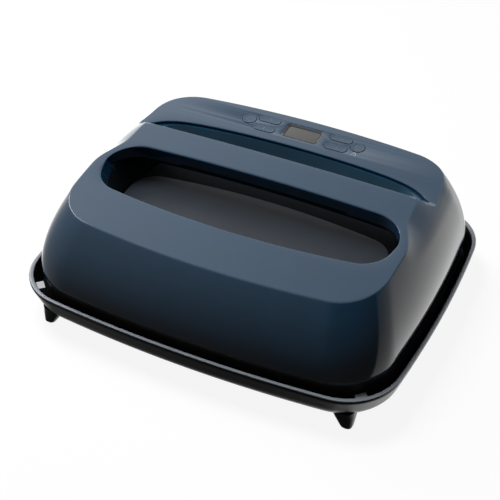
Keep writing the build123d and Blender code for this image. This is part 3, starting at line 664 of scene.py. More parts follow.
@dataclass(frozen=True)
class PressForm:
    """Planes, walls and openings of the press, in millimetres."""

    half_w: float = 165.4
    half_d: float = 132.9
    corner: float = 49.0
    bottom: float = 44.4
    crease_z: float = 101.7
    front_lean: float = 26.5
    side_lean: float = 16.7
    rear_lean: float = 15.8
    lean_power: float = 1.8
    corner_taper: float = 0.1
    deck_slope: float = 0.09
    panel_y: float = 93.45
    panel_z: float = 107.3
    panel_slope: float = 0.06
    panel_thick: float = 3.0
    grip_half_w: float = 136.0
    grip_front: float = -61.0
    grip_rear: float = 73.6
    grip_corner: float = 27.0
    grip_draft: float = 12.0
    grip_rim_z: float = 107.0
    grip_floor_z: float = 74.0
    handle_front: float = 10.4
    handle_rear: float = 40.4
    handle_front_bow: float = 5.0
    handle_rear_bow: float = 2.6
    handle_under: float = 96.5
    handle_end: float = 140.0
    cheek_x: float = 131.5
    cheek_low: float = 94.0
    cheek_height: float = 19.0
    cheek_pull: float = 12.2
    cheek_ease: float = 2.7
    cheek_begin: Pair = (-30.0, 10.0)
    cheek_turn: Pair = (8.0, 36.0)
    cheek_end: Pair = (60.0, 102.0)
    pocket_taper: float = 4.0
    taper_begin: Pair = (-2.0, 24.0)
    taper_out: Pair = (0.0, 60.0)
    tip_y: float = 50.0

    def wall(self, z: float, inset: float = 0.0) -> Outline:
        """The housing's outline at a height.

        Args:
            z: The height.
            inset: How far it is moved inwards.

        Returns:
            The outline.
        """
        share = (z - self.bottom) / (self.crease_z - self.bottom)
        lean = max(0.0, share) ** self.lean_power
        return Outline(
            self.half_w - self.side_lean * lean - inset,
            self.front_lean * lean + inset - self.half_d,
            self.half_d - self.rear_lean * lean - inset,
            self.corner - inset - self.corner_taper * (z - self.bottom),
        )

    def tub(self, z: float) -> Outline:
        """The hand opening's outline at a height."""
        reach = (z - self.grip_rim_z) / (self.grip_rim_z - self.grip_floor_z) * self.grip_draft
        return Outline(self.grip_half_w + reach, self.grip_front - reach, self.grip_rear + reach,
                       self.grip_corner)

    def skin(self, slot: Slot, z: float) -> Pair:
        """The outer wall's point: near the handle's ends its top is drawn inwards.

        Args:
            slot: The outline's slot.
            z: The height.

        Returns:
            The point's x and y.
        """
        x, y = self.wall(z).at(slot)
        rise = max(0.0, z - self.cheek_low) / self.cheek_height
        pull = self.cheek_pull - self.cheek_ease * ease(y, self.cheek_turn)
        pull *= ease(y, self.cheek_begin) * (1.0 - ease(y, self.cheek_end))
        return x - pull * rise * rise, y

    def on_skin(self, slot: Slot, z: float) -> Vector:
        """The outer wall's point in space."""
        return Vector((*self.skin(slot, z), z))

    def pocket(self, slot: Slot, z: float) -> Pair:
        """The hand opening's wall, a little narrower behind the handle's front edge."""
        x, y = self.tub(z).at(slot)
        taper = self.pocket_taper * ease(y, self.taper_begin) * ease(x, self.taper_out)
        return x - min(x, taper), y

    def deck(self, y: float) -> float:
        """Height of the deck and the handle's top."""
        return self.crease_z + self.deck_slope * (y + self.half_d - self.front_lean)

    def panel(self, y: float) -> float:
        """Height of the control panel's face."""
        return self.panel_z + self.panel_slope * (y - self.panel_y)

    def seat(self, y: float) -> float:
        """Height of the shelf that the control panel lies on."""
        return self.panel(y) - self.panel_thick

    @property
    def step_y(self) -> float:
        """Depth of the handle's rear edge at its ends."""
        return self.handle_rear_y(self.cheek_x)

    def cove(self, y: float) -> float:
        """Height of the hollow that runs from the handle's end down to the panel's tip.

        Args:
            y: The depth.

        Returns:
            The height.
        """
        share = max(0.0, min(1.0, (self.tip_y - y) / (self.tip_y - self.step_y)))
        low = self.panel(self.tip_y)
        return low + (self.deck(self.step_y) - low) * (1.0 - math.sqrt(1.0 - share * share))

    def side_slots(self) -> list[Slot]:
        """The outer wall's slots, with stops through the hollow."""
        stops = [self.step_y + part for part in (0.0, 1.1, 2.3, 3.8, 5.6, 7.9, 10.0)]
        return half_slots(-38.0, 56.0, stops + [self.tip_y])

    def handle_front_y(self, x: float) -> float:
        """Depth of the handle's front edge."""
        return self.handle_front - self.handle_front_bow * (x / self.handle_end) ** 2

    def handle_rear_y(self, x: float) -> float:
        """Depth of the handle's rear edge."""
        return self.handle_rear - self.handle_rear_bow * (x / self.handle_end) ** 2

    def on_panel(self, u: float, v: float, h: float) -> Spot:
        """A point in the panel's own frame.

        Args:
            u: To the right of the display's middle.
            v: To the rear of it, along the panel.
            h: Above the panel's face.

        Returns:
            The point in the press's frame.
        """
        length = math.hypot(1.0, self.panel_slope)
        along, up = 1.0 / length, self.panel_slope / length
        return u, self.panel_y + v * along - h * up, self.panel_z + v * up + h * along


PRESS = PressForm()


@dataclass
class Housing:
    """The blue moulding: leaning walls, deck, hand opening and the bridge handle."""

    form: PressForm = PRESS
    edge: float = 1.1
    edge_drop: float = 0.87
    rim_edge: float = 1.5
    neck_edge: float = 0.7
    neck_x: float = 118.0
    neck_y: float = -30.0
    handle_edge: float = 0.9
    handle_fade: Pair = (0.0, 10.0)
    under_edge: float = 6.0
    under_steps: int = 6
    face_steps: int = 4
    turn_steps: int = 14
    bar_steps: int = 20
    rear_steps: int = 28
    tub_rows: int = 10
    seam_y: float = 25.0
    seam_behind: float = 14.0
    seam_before: float = 4.0
    slot_below: float = 0.3
    slot_from: float = 4.0
    wall_rows: int = 20
    upper_rows: int = 10
    bend_steps: int = 10
    dark_below: float = 10.5
    rim_steps: int = 5
    thickness: float = 2.6
    draft: Draft = field(default_factory=Draft)

    def __post_init__(self) -> None:
        """Choose the slots of the outer wall and of the tub."""
        self.step_y = self.form.step_y
        self.slots = self.form.side_slots()
        self.step = self.slots.index(("side", self.step_y))
        self.tip = self.slots.index(("side", self.form.tip_y))
        self.tub_slots = half_slots(-8.0, 16.0)
        self.join = next(n for n, slot in enumerate(self.tub_slots) if slot[0] == "front_lead") + 2

    def rim_size(self, corner: Vector) -> float:
        """Size of the rim's rounding, which is finer beside the handle's ends."""
        near_neck = abs(corner.x) > self.neck_x and corner.y > self.neck_y
        return self.neck_edge if near_neck else self.rim_edge

    def lower_wall(self) -> None:
        """The walls from the skirt up to the height of the panel's seat."""
        form = self.form
        tops = [on_plane(form.skin, slot, form.seat) for slot in self.slots]
        foot = [Vector((*form.wall(form.bottom, 0.5).at(slot), form.bottom)) for slot in self.slots]
        stack = [around(foot)]
        for step in range(self.wall_rows + 1):
            row = []
            for slot, top in zip(self.slots, tops):
                z = mix(form.bottom + 0.5, top.z, step / self.wall_rows)
                row.append(form.on_skin(slot, z))
            stack.append(around(row))
        self.draft.rows(stack)

    def crease_columns(self) -> list[list[Vector]]:
        """The outer wall from the seat's height up to the deck's rounded edge or the hollow.

        Returns:
            Columns of points upwards, of the right-hand half, from the front to the panel's tip.
        """
        form = self.form
        sharp = [on_plane(form.skin, slot, form.deck) for slot in self.slots]
        sides = loop_sides(around(sharp))
        columns = []
        for number in range(self.tip + 1):
            slot, corner, side = self.slots[number], sharp[number], sides[number]
            if slot[0] == "side":
                side = Vector((-1.0, 0.0, 0.0))
            inner = corner + side * self.edge
            inner.z = form.deck(inner.y)
            start = on_plane(form.skin, slot, form.seat)
            low_z = corner.z - self.edge_drop * self.edge
            low = form.on_skin(slot, low_z)
            column = [start]
            for step in range(1, self.upper_rows):
                z = mix(start.z, low_z, step / self.upper_rows)
                column.append(form.on_skin(slot, z))
            column += bend(low, corner, inner, self.bend_steps)
            columns.append(self.cut_column(column,
                                           form.cove(slot[1])) if number > self.step else column)
        return columns

    def cut_column(self, column: list[Vector], top: float) -> list[Vector]:
        """The same column, shortened to a height.

        Args:
            column: Its points upwards.
            top: The height that it ends at.

        Returns:
            As many points as before.
        """
        share = (top - column[0].z) / (column[-1].z - column[0].z)
        short, part = [], 0
        for point in column:
            z = mix(column[0].z, point.z, share)
            while part < len(column) - 2 and column[part + 1].z < z:
                part += 1
            low, high = column[part], column[part + 1]
            short.append(low.lerp(high, (z - low.z) / max(1e-9, high.z - low.z)))
        return short

    def flare(self) -> tuple[Vector, float]:
        """Where the rim leaves the tub and turns into the handle's front edge.

        Returns:
            The joining point and the radius of the turn.
        """
        joint = on_plane(self.form.pocket, self.tub_slots[self.join], self.form.deck)
        radius = 20.0
        for _ in range(12):
            radius = self.form.handle_front_y(joint.x - radius) - joint.y
        return joint, radius

    def rim_loop(self) -> tuple[list[Vector], int]:
        """The sharp rim of the well, anticlockwise from the left joint over the front.

        Returns:
            The loop's points and how many of them belong to the tub's own wall.
        """
        form = self.form
        tub_slots = self.tub_slots[: self.join + 1]
        tub_part = across([on_plane(form.pocket, slot, form.deck) for slot in tub_slots])
        joint, radius = self.flare()
        turn = []
        for step in range(1, self.turn_steps + 1):
            angle = math.pi / 2 * step / self.turn_steps
            turn.append((joint.x - radius + radius * math.cos(angle),
                         joint.y + radius * math.sin(angle)))
        end_x = joint.x - radius
        across_x = [end_x * (1 - step / self.bar_steps) for step in range(1, self.bar_steps)]
        front = [(x, form.handle_front_y(x)) for x in across_x]
        right = [Vector((x, y, form.deck(y))) for x, y in turn + front]
        middle = [Vector((0.0, form.handle_front, form.deck(form.handle_front)))]
        return tub_part + right + middle + mirrored(right[::-1]), len(tub_part)

    def well(self) -> tuple[list[int], list[int]]:
        """Rim rounding and the handle's front face with its round lower edge.

        Returns:
            The numbers of the rim's upper loop and of the handle's lower front row.
        """
        form = self.form
        loop, tub_count = self.rim_loop()
        sides = loop_sides(loop)
        tub_numbers = list(range(self.join, 0, -1)) + list(range(self.join + 1))
        rounded = []
        for number, (corner, side) in enumerate(zip(loop, sides)):
            size = self.rim_size(corner)
            outer = corner - side * size
            outer.z = form.deck(outer.y)
            low = corner - Vector((0.0, 0.0, size))
            if number < tub_count:
                x, y = form.pocket(self.tub_slots[tub_numbers[number]], low.z)
                low = Vector((math.copysign(x, corner.x), y, low.z))
            rounded.append(bend(low, corner, outer, self.rim_steps))
        rows = [[column[step] for column in rounded] for step in range(self.rim_steps + 1)]
        numbers = self.draft.rows(rows)
        first, last = tub_count - 1, len(loop)
        ring = list(range(first, last)) + [0]
        face_rows = []
        for step in range(self.face_steps + 1):
            line = []
            for number in ring:
                low = rounded[number][0]
                z = mix(low.z, form.handle_under + self.under_edge, step / self.face_steps)
                line.append(Vector((low.x, low.y, z)))
            face_rows.append(line)
        for step in range(1, self.under_steps + 1):
            line = []
            for number in ring:
                low, side = rounded[number][0], sides[number]
                start = Vector((low.x, low.y, form.handle_under + self.under_edge))
                corner = Vector((low.x, low.y, form.handle_under))
                end = corner - side * self.under_edge
                line.append(bend(start, corner, end, self.under_steps)[step])
            face_rows.append(line)
        lower = self.draft.rows(face_rows, closed=False)
        return numbers[-1], lower[-1]

    def tip_foot(self) -> Vector:
        """Where the tub's wall meets the panel's seat at the tip, on the right.

        Returns:
            The point.
        """
        form = self.form
        slots = self.tub_slots[self.join:]
        rows = [on_plane(form.pocket, slot, form.seat) for slot in slots]
        pair = next(pair for pair in zip(rows, rows[1:]) if pair[0].y <= form.tip_y < pair[1].y)
        share = (form.tip_y - pair[0].y) / (pair[1].y - pair[0].y)
        return pair[0].lerp(pair[1], share)

    def hollow(self, side: int, columns: list[list[Vector]], tub_row: list[int]) -> None:
        """The hollow between the handle's end and the panel's tip, with its small end face.

        Args:
            side: 1 for the right, -1 for the left.
            columns: The rounded columns of the outer wall.
            tub_row: The tub's top row beside the hollow.
        """
        form = self.form
        flip = Vector((side, 1.0, 1.0))
        outer = [Vector(column[-1]) * flip for column in columns[self.step:]]
        foot = self.tip_foot()
        inner_end = Vector((foot.x, form.tip_y, form.panel(form.tip_y)))
        outer_row = self.draft.row(outer)
        inner_row = self.draft.row([outer[0], inner_end * flip])
        self.draft.bridge([inner_row[0]] + tub_row + [inner_row[1]], outer_row)
        end = [foot * flip, inner_end * flip]
        end += [Vector(point) * flip for point in columns[self.tip][::-1]]
        self.draft.cap(self.draft.row(end))

    def tub_wall(self, columns: list[list[Vector]]) -> list[int]:
        """The drafted wall round the whole hand opening.

        Args:
            columns: The rounded columns of the outer wall.

        Returns:
            The numbers of its top row behind the handle, from right to left over the rear.
        """
        form = self.form
        tops = []
        behind, beside = [], []
        for number, slot in enumerate(self.tub_slots):
            if number <= self.join:
                corner = on_plane(form.pocket, slot, form.deck)
                tops.append(corner.z - self.rim_size(corner))
                continue
            point = on_plane(form.pocket, slot, form.cove)
            if point.y > form.tip_y:
                behind.append(number)
                tops.append(on_plane(form.pocket, slot, form.seat).z)
            elif point.y > self.step_y:
                beside.append(number)
                tops.append(point.z)
            else:
                rise = self.seam_behind if point.y > self.seam_y else self.seam_before
                tops.append(form.handle_under + rise)
        stack = []
        for step in range(self.tub_rows + 1):
            row = []
            for slot, top in zip(self.tub_slots, tops):
                z = mix(form.grip_floor_z, top, step / self.tub_rows)
                row.append(Vector((*form.pocket(slot, z), z)))
            stack.append(around(row))
        numbers = self.draft.rows(stack)[-1]
        count = len(self.tub_slots)
        for side in (1, -1):
            self.hollow(side, columns, [numbers[side * n % len(numbers)] for n in beside])
        right = [numbers[n] for n in behind]
        left = [numbers[-n] for n in reversed(behind) if n != count - 1]
        return right + left

    def rear_edge(self, front_row: list[int], end_x: float) -> list[int]:
        """The handle's rear edge and face, and its flat underside.

        Args:
            front_row: The numbers of the handle's lower front row, right to left.
            end_x: How far out the edge runs.

        Returns:
            The numbers of the edge's upper row, from right to left, without its two ends.
        """
        form = self.form
        columns = []
        for step in range(2 * self.rear_steps + 1):
            x = end_x * (1 - step / self.rear_steps)
            y = min(form.handle_rear_y(x), mix(form.handle_rear, self.step_y, (x / end_x) ** 2))
            corner = Vector((x, y, form.deck(y)))
            size = self.handle_edge * ease(end_x - abs(x), self.handle_fade)
            inner = Vector((x, y - size, form.deck(y - size)))
            low = corner - Vector((0.0, 0.0, size))
            column = bend(inner, corner, low, self.rim_steps)
            for part in range(1, self.face_steps + 1):
                z = mix(low.z, form.handle_under + self.under_edge, part / self.face_steps)
                column.append(Vector((x, y, z)))
            start = column[-1]
            under = Vector((x, y, form.handle_under))
            end = under - Vector((0.0, self.under_edge, 0.0))
            column += bend(start, under, end, self.under_steps)[1:]
            columns.append(column)
        rows = [[column[n] for column in columns] for n in range(len(columns[0]))]
        numbers = self.draft.rows(rows[::-1], closed=False)
        self.draft.fill([front_row + numbers[0][::-1]], flip=True)
        return numbers[-1][1:-1]

    def shelf(self, tub_row: list[int]) -> None:
        """The seat under the control panel.

        Args:
            tub_row: The tub's top row behind the handle, right to left over the rear.
        """
        form = self.form
        foot = self.tip_foot()
        right = [foot] + [on_plane(form.skin, slot, form.seat) for slot in self.slots[self.tip:]]
        outer = right + mirrored(right[-2::-1])
        self.draft.fill([self.draft.row(outer) + tub_row[::-1]])

    def shell_shade_sheen_number(self, spot: Vector) -> int:
        """Which material a face has: plain shell, the near-black that is dark insert and painted
        shade low in the well, or the lighter navy that paints sheen on the slot's rear wall.

        Args:
            spot: The face's middle, in millimetres.

        Returns:
            0, 1 or 2 in that order.
        """
        form = self.form
        x, y, z = spot
        beside = abs(x) >= form.grip_half_w + 1.0
        if beside or not form.grip_front - 1.0 < y < form.grip_rear + 1.0:
            return 0
        slot_y = form.handle_rear + self.slot_from
        # Below the rim, the well's walls and the handle's front face turn near-black: dark insert
        # and painted shade.
        if y < slot_y and z < form.deck(y) - self.dark_below:
            return 1
        # The slot's rear wall behind the handle gets the lighter navy: a painted sheen.
        return 2 if y > slot_y and z < form.seat(y) - self.slot_below else 0

    def build(self) -> bpy.types.Object:
        """Make the whole moulding.

        Returns:
            The housing's object.
        """
        form = self.form
        self.lower_wall()
        columns = self.crease_columns()
        count = len(columns[0])
        rows = [across([column[n] for column in columns]) for n in range(count)]
        extra = self.tip - self.step
        crease = self.draft.rows(rows, closed=False)[-1][extra:-extra]
        rim, front_row = self.well()
        tub_row = self.tub_wall(columns)
        rear = self.rear_edge(front_row, columns[self.step][-1].x)
        self.draft.fill([crease + rear, rim])
        self.shelf(tub_row)
        shell = self.draft.build("housing_shell", SHELL, up_face=True)
        # Second material: dark insert and painted shade in the well; third: the slot's lighter
        # navy, a painted sheen.
        shell.data.materials.append(WELL_DARK_AND_SHADE.material())
        shell.data.materials.append(SLOT_PAINTED_SHEEN.material())
        for face in shell.data.polygons:
            face.material_index = self.shell_shade_sheen_number(face.center / MM)
        thick = shell.modifiers.new("wall", "SOLIDIFY")
        thick.thickness = self.thickness * MM
        thick.offset = -1.0
        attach(shell, "press")
        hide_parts("housing")
        return shell


def rounded_loop(width: float, depth: float, radius: float, steps: int = 10) -> list[Pair]:
    """A rectangle with rounded corners, anticlockwise.

    Args:
        width: Size along u.
        depth: Size along v.
        radius: Corner radius.
        steps: Pieces of each corner.

    Returns:
        The points as pairs.
    """
    loop = []
    radius = min(radius, width / 2 - 0.01, depth / 2 - 0.01)
    for quarter, (x, y) in enumerate(((1, -1), (1, 1), (-1, 1), (-1, -1))):
        for step in range(steps + 1):
            angle = math.pi / 2 * (quarter - 1 + step / steps)
            u = x * (width / 2 - radius) + radius * math.cos(angle)
            loop.append((u, y * (depth / 2 - radius) + radius * math.sin(angle)))
    return loop


def bar(x0: float, y0: float, x1: float, y1: float, wide: float) -> list[Pair]:
    """The outline of a straight stroke, anticlockwise.

    Args:
        x0: Where it starts, to the right.
        y0: Where it starts, to the rear.
        x1: Where it ends, to the right.
        y1: Where it ends, to the rear.
        wide: Its width.

    Returns:
        The outline's points.
    """
    length = math.hypot(x1 - x0, y1 - y0)
    ax, ay = (x1 - x0) / length * wide / 2, (y1 - y0) / length * wide / 2
    return [(x0 + ay, y0 - ax), (x1 + ay, y1 - ax), (x1 - ay, y1 + ax), (x0 - ay, y0 + ax)]


def arc(radius: float, wide: float, start: float, end: float,
        middle: tuple[float, float] = (0.0, 0.0)) -> list[Pair]:
    """The outline of a round stroke, anticlockwise.

    Args:
        radius: Of its middle line.
        wide: Its width.
        start: Angle in degrees where it starts.
        end: Where it ends.
        middle: Its centre.

    Returns:
        The outline's points.
    """
    turns = [math.radians(mix(start, end, step / ARC_STEPS)) for step in range(ARC_STEPS + 1)]
    outer, inner = ([(middle[0] + reach * math.cos(turn), middle[1] + reach * math.sin(turn))
                     for turn in turns] for reach in (radius + wide / 2, radius - wide / 2))
    return outer + inner[::-1]


ARC_STEPS = 32


@dataclass(frozen=True)
class Key:
    """One button: its place on the panel, size and body."""

    name: str
    u: float
    v: float
    width: float
    depth: float


KEYS = (
    Key("button_power", -53.3, 0.8, 12.8, 12.8),
    Key("button_start", 53.3, 0.8, 12.8, 12.8),
    Key("button_timer", -35.2, 6.4, 21.4, 8.6),
    Key("button_temperature", -35.2, -7.0, 21.4, 8.6),
    Key("button_plus", 35.2, 6.4, 21.4, 8.6),
    Key("button_minus", 35.2, -7.0, 21.4, 8.6),
)


@dataclass
class ControlPanel:
    """The flush plate behind the handle, with its lip over the slot, display and buttons."""

    form: PressForm = PRESS
    edge: float = 1.0
    gap: float = 0.35
    display: tuple[float, float, float] = (36.6, 20.4, 4.4)
    sign_rise: float = 0.05
    sign_foot: float = 0.09
    mark_foot: float = 0.01
    mark_size: float = 2.9
    mark_spot: Pair = (53.4, -9.4)
    tip_fade: float = 5.0
    tip_edge: float = 0.12
    hole_rows: tuple[Pair, ...] = ((0.25, 0.0), (0.07, -0.07), (0.0, -0.25))
    cap_rows: tuple[Pair, ...] = (
        (0.9, -4.3), (0.9, -3.15), (0.0, -3.15), (0.0, 0.0), (-0.08, 0.2), (-0.3, 0.3),
        (-0.8, 0.26), (-1.6, 0.16), (-2.6, 0.10),
    )
    lip: tuple[Pair, ...] = (
        (0.0, 72.9), (20.0, 72.7), (40.0, 72.1), (58.0, 71.1), (75.0, 69.8), (90.0, 68.1),
        (104.0, 65.7),
        (113.0, 63.3), (120.0, 60.4), (125.5, 57.2), (129.0, 54.5), (131.6, 52.4), (134.0, 51.0),
        (136.6, 50.2), (139.8, 50.0),
    )

    def wall_slots(self) -> list[Slot]:
        """The outer wall's slots behind the lip's tip."""
        slots = self.form.side_slots()
        return slots[slots.index(("side", self.form.tip_y)):]

    def outer_columns(self) -> list[list[Vector]]:
        """The plate's rim, right-hand half.

        Returns:
            Columns of points, each from the upper face down to the lower.
        """
        form = self.form
        slots = self.wall_slots()
        walls = [on_plane(form.skin, slot, form.panel) for slot in slots]
        lips = [Vector((x, y, form.panel(y))) for x, y in self.lip]
        half = lips + walls
        sides = loop_sides(around(half))
        columns = []
        for number, corner in enumerate(half):
            fade = smooth_step((corner.y - form.tip_y) / self.tip_fade)
            size = self.edge * mix(self.tip_edge, 1.0, fade)
            inner = corner + sides[number] * size
            inner.z = form.panel(inner.y)
            if number < len(lips):
                low = corner - Vector((0.0, 0.0, size))
                foot = corner - Vector((0.0, 0.0, form.panel_thick))
            else:
                slot = slots[number - len(lips)]
                low = form.on_skin(slot, corner.z - size)
                foot = on_plane(form.skin, slot, form.seat)
            columns.append(bend(inner, corner, low, 4) + [foot])
        return columns

    def plate(self) -> bpy.types.Object:
        """The plate with the openings for the display and the buttons.

        Returns:
            The plate's object.
        """
        draft = Draft()
        columns = self.outer_columns()
        stack = [around([column[n] for column in columns]) for n in range(len(columns[0]))]
        rows = draft.rows(stack[::-1])
        upper, lower = [rows[-1]], [rows[0]]
        width, depth, radius = self.display
        holes = [(0.0, 0.0, width, depth, radius)]
        for key in KEYS:
            holes.append((key.u, key.v, key.width + 2 * self.gap,
                          key.depth + 2 * self.gap, key.depth))
        for u, v, wide, deep, round_r in holes:
            stack = []
            for grow, h in (*self.hole_rows, (0.0, -self.form.panel_thick)):
                shape = rounded_loop(wide + 2 * grow, deep + 2 * grow, round_r + grow)
                stack.append([self.form.on_panel(u + a, v + b, h) for a, b in shape])
            ring = draft.rows(stack[::-1])
            upper.append(ring[-1])
            lower.append(ring[0])
        draft.fill(upper)
        draft.fill(lower, flip=True)
        plate = draft.build("panel_plate", SHELL)
        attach(plate, "press")
        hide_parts("control_panel")
        return plate

    def solid(self, name: str, rows: Sequence[tuple[float, float, float, float]], u: float,
              v: float, finish: Finish, ring: bool = False) -> bpy.types.Object:
        """A rounded block or frame in the panel's frame.

        Args:
            name: The piece's name.
            rows: Width, depth, corner radius and height of each row.
            u: Place to the right.
            v: Place to the rear.
            finish: Its finish.
            ring: Whether the last row joins the first instead of the ends being capped.

        Returns:
            The piece.
        """
        draft = Draft()
        stack = []
        for width, depth, radius, h in rows:
            shape = rounded_loop(width, depth, radius)
            stack.append([self.form.on_panel(u + a, v + b, h) for a, b in shape])
        draft.tower(stack, ring)
        return draft.build(name, finish)

    def display_pieces(self) -> None:
        """The display's dark frame and its lens."""
        width, depth, radius = self.display
        wide, deep = width - 0.3, depth - 0.3
        frame_piece = self.solid(
            "display_frame",
            [
                (31.0, 15.6, 2.0, -4.2), (wide + 4, deep + 4, radius, -4.2),
                (wide + 4, deep + 4, radius, -3.05),
                (wide, deep, radius, -3.05), (wide, deep, radius, -0.35),
                (wide - 0.15, deep - 0.15, radius, -0.12),
                (wide - 0.5, deep - 0.5, radius, 0.0), (wide - 0.9, deep - 0.9, radius - 0.3, -0.1),
                (31.3, 15.9, 2.2, -1.3), (31.0, 15.6, 2.0, -1.5),
            ],
            0.0, 0.0, FRAME_GLOSS, ring=True,
        )
        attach(frame_piece, "press")
        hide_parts("display_bezel")
        lens = self.solid(
            "display_lens",
            [(30.9, 15.5, 2.0, -4.2), (30.9, 15.5, 2.0, -1.7), (30.5, 15.1, 1.8, -1.45),
             (29.8, 14.4, 1.6, -1.4)],
            0.0, 0.0, LENS,
        )
        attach(lens, "press")
        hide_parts("display_window")

    def buttons(self) -> None:
        """The six caps, each on its own body."""
        for key in KEYS:
            rows = [(key.width + 2 * grow, key.depth + 2 * grow, key.depth, h) for grow,
                    h in self.cap_rows]
            cap = self.solid("cap_" + key.name, rows, key.u, key.v, SHELL)
            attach(cap, key.name)
            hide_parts(key.name)
            LOG.info("made %s", cap.name)

    def sign(self, name: str, body: str, strokes: Sequence[Sequence[Pair]], spot: Pair,
             h: float, finish: Finish) -> None:
        """A faint sign of raised strokes.

        Args:
            name: The piece's name.
            body: The body that it rides on.
            strokes: Closed outlines about the sign's middle.
            spot: Its middle on the panel.
            h: Height of its foot.
            finish: Its finish.
        """
        draft = Draft()
        for stroke in strokes:
            stack = [[self.form.on_panel(spot[0] + a, spot[1] + b, h + rise) for a, b in stroke]
                     for rise in (0.0, self.sign_rise)]
            low, high = draft.rows(stack)
            draft.fill([high])
            draft.fill([low], flip=True)
        piece = draft.build(name, finish)
        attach(piece, body)

    def signs(self) -> None:
        """Generic signs on the buttons and the small triangle beside them."""
        signs = {
            "button_power": [arc(2.5, 0.45, 125.0, 415.0), bar(0.0, 1.0, 0.0, 3.2, 0.45)],
            "button_start": [arc(2.8, 0.4, 0.0, 358.0), arc(1.3, 0.4, 0.0, 358.0)],
            "button_timer": [arc(1.7, 0.38, 0.0, 358.0), bar(0.0, -0.1, 0.0, 1.1, 0.35),
                             bar(0.25, 0.0, 1.0, 0.0, 0.35)],
            "button_temperature": [bar(0.0, -0.3, 0.0, 2.0, 0.7),
                                   arc(0.75, 0.5, 0.0, 358.0, (0.0, -1.1))],
            "button_plus": [bar(-1.5, 0.0, 1.5, 0.0, 0.4), bar(0.0, 0.25, 0.0, 1.5, 0.4),
                            bar(0.0, -1.5, 0.0, -0.25, 0.4)],
            "button_minus": [bar(-1.5, 0.0, 1.5, 0.0, 0.4)],
        }
        for key in KEYS:
            self.sign("sign_" + key.name, key.name, signs[key.name], (key.u, key.v),
                      self.sign_foot, SIGN)
        turns = (0.0, 2 * math.pi / 3, 4 * math.pi / 3)
        tips = [(self.mark_size * math.sin(turn),
                 self.mark_size * math.cos(turn)) for turn in turns]
        sides = [bar(*a, *b, 0.55) for a, b in zip(tips, tips[1:] + tips[:1])]
        self.sign("sign_ready", "press", sides, self.mark_spot, self.mark_foot, SIGN_LIGHT)

    def build(self) -> None:
        """Make the panel and all that lies in it."""
        self.plate()
        self.signs()
        self.display_pieces()
        self.buttons()


# Pieces that are one outline stacked at several heights


def ring_piece(name: str, finish: Finish, outlines: Sequence[tuple[Outline, float]], closed: bool,
               slots: Sequence[Slot]) -> bpy.types.Object:
    """A piece made of one outline's rings at several heights.

    Args:
        name: The piece's name.
        finish: Its finish.
        outlines: Each ring's outline and height.
        closed: Whether the last ring joins the first; otherwise both ends are capped.
        slots: The slots of the outlines.

    Returns:
        The piece.
    """
    draft = Draft()
    draft.tower([whole_ring(outline, slots, z) for outline, z in outlines], closed)
    return draft.build(name, finish)


@dataclass
class BaseTray:
    """The tray with its rim, feet and rubber pads, in millimetres."""

    half_w: float = 174.0
    half_d: float = 141.5
    corner: float = 48.5
    under: float = 15.6
    rim: float = 38.0
    lip: float = 3.0
    taper: float = 6.0
    foot_x: float = 139.0
    foot_y: float = 120.5
    foot_splay: float = 4.5

    def outline(self, inset: float) -> Outline:
        """The tray's outline moved inwards."""
        return Outline(self.half_w - inset, inset - self.half_d, self.half_d - inset,
                       self.corner - inset / 4)

    def taper_at(self, z: float) -> float:
        """How far the tapered wall stands in at a height."""
        return self.taper * max(0.0, self.rim - self.lip - z) / (self.rim - self.lip - self.under)

    def body(self) -> bpy.types.Object:
        """The tray's moulding, with a highlight painted along the top of its rim.

        Returns:
            The tray's object.
        """
        rows = [(16.0, self.under + 0.8), (14.0, self.under + 0.8), (13.2, self.under),
                (8.6, self.under),
                (6.6, self.under + 0.9), (5.7, self.under + 2.6)]
        for z in (20.0, 24.0, 28.0, 32.0):
            rows.append((self.taper_at(z) + 0.1, z))
        rows += [(0.15, 34.6), (0.0, 35.4), (0.0, 37.1), (0.25, 37.75), (0.8, self.rim),
                 (2.2, self.rim),
                 (2.8, 37.75), (3.05, 37.1), (3.6, 35.0)]
        for z in (32.0, 28.0, 24.0, 21.5):
            rows.append((self.taper_at(z) + 3.3, z))
        rows += [(9.8, 19.6), (12.5, 18.7), (17.0, 18.6)]
        stack = [(self.outline(inset), z) for inset, z in rows]
        tray = ring_piece("tray_body", TRAY, stack, False, half_slots(-38.0, 38.0))
        # A second material paints a highlight on the faces along the top of the rim.
        tray.data.materials.append(TRAY_RIM_HIGHLIGHT.material())
        for face in tray.data.polygons:
            if face.center.z > (self.rim - 0.75) * MM:
                face.material_index = 1
        return tray

    def foot(self, name: str, side: tuple[int, int]) -> None:
        """One splayed leg and its pad.

        Args:
            name: The end of the nodes' names.
            side: The corner as signs.
        """
        leg, pad = Draft(), Draft()
        rows = []
        for z, radius in ((17.2, 11.0), (15.6, 10.4), (14.2, 9.7), (11.0, 8.7),
                          (7.0, 7.2), (3.6, 5.9), (1.8, 5.2), (1.0, 4.7)):
            share = (self.under - z) / (self.under - 1.0)
            x = side[0] * (self.foot_x - self.foot_splay * (1 - share))
            y = side[1] * (self.foot_y - self.foot_splay * (1 - share))
            shape = rounded_loop(2 * radius, 2 * radius, radius * 0.72, 6)
            rows.append([(x + a, y + b, z) for a, b in shape])
        leg.tower(rows[::-1])
        piece = leg.build("leg_" + name, TRAY)
        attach(piece, "base")
        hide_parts("foot_" + name)
        rows = []
        for z, radius in ((0.0, 3.7), (0.25, 4.2), (0.7, 4.4), (1.6, 4.3)):
            shape = rounded_loop(2 * radius, 2 * radius, radius * 0.9, 6)
            rows.append([(side[0] * self.foot_x + a, side[1] * self.foot_y + b, z) for a,
                         b in shape])
        pad.tower(rows)
        piece = pad.build("pad_" + name, RUBBER)
        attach(piece, "base")
        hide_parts("foot_pad_" + name)

    def build(self) -> None:
        """Make the tray and its feet."""
        tray = self.body()
        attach(tray, "base")
        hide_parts("base_tray")
        for name, side in (("rear_right", (1, 1)), ("rear_left", (-1, 1)), ("front_right", (1, -1)),
                           ("front_left", (-1, -1))):
            self.foot(name, side)


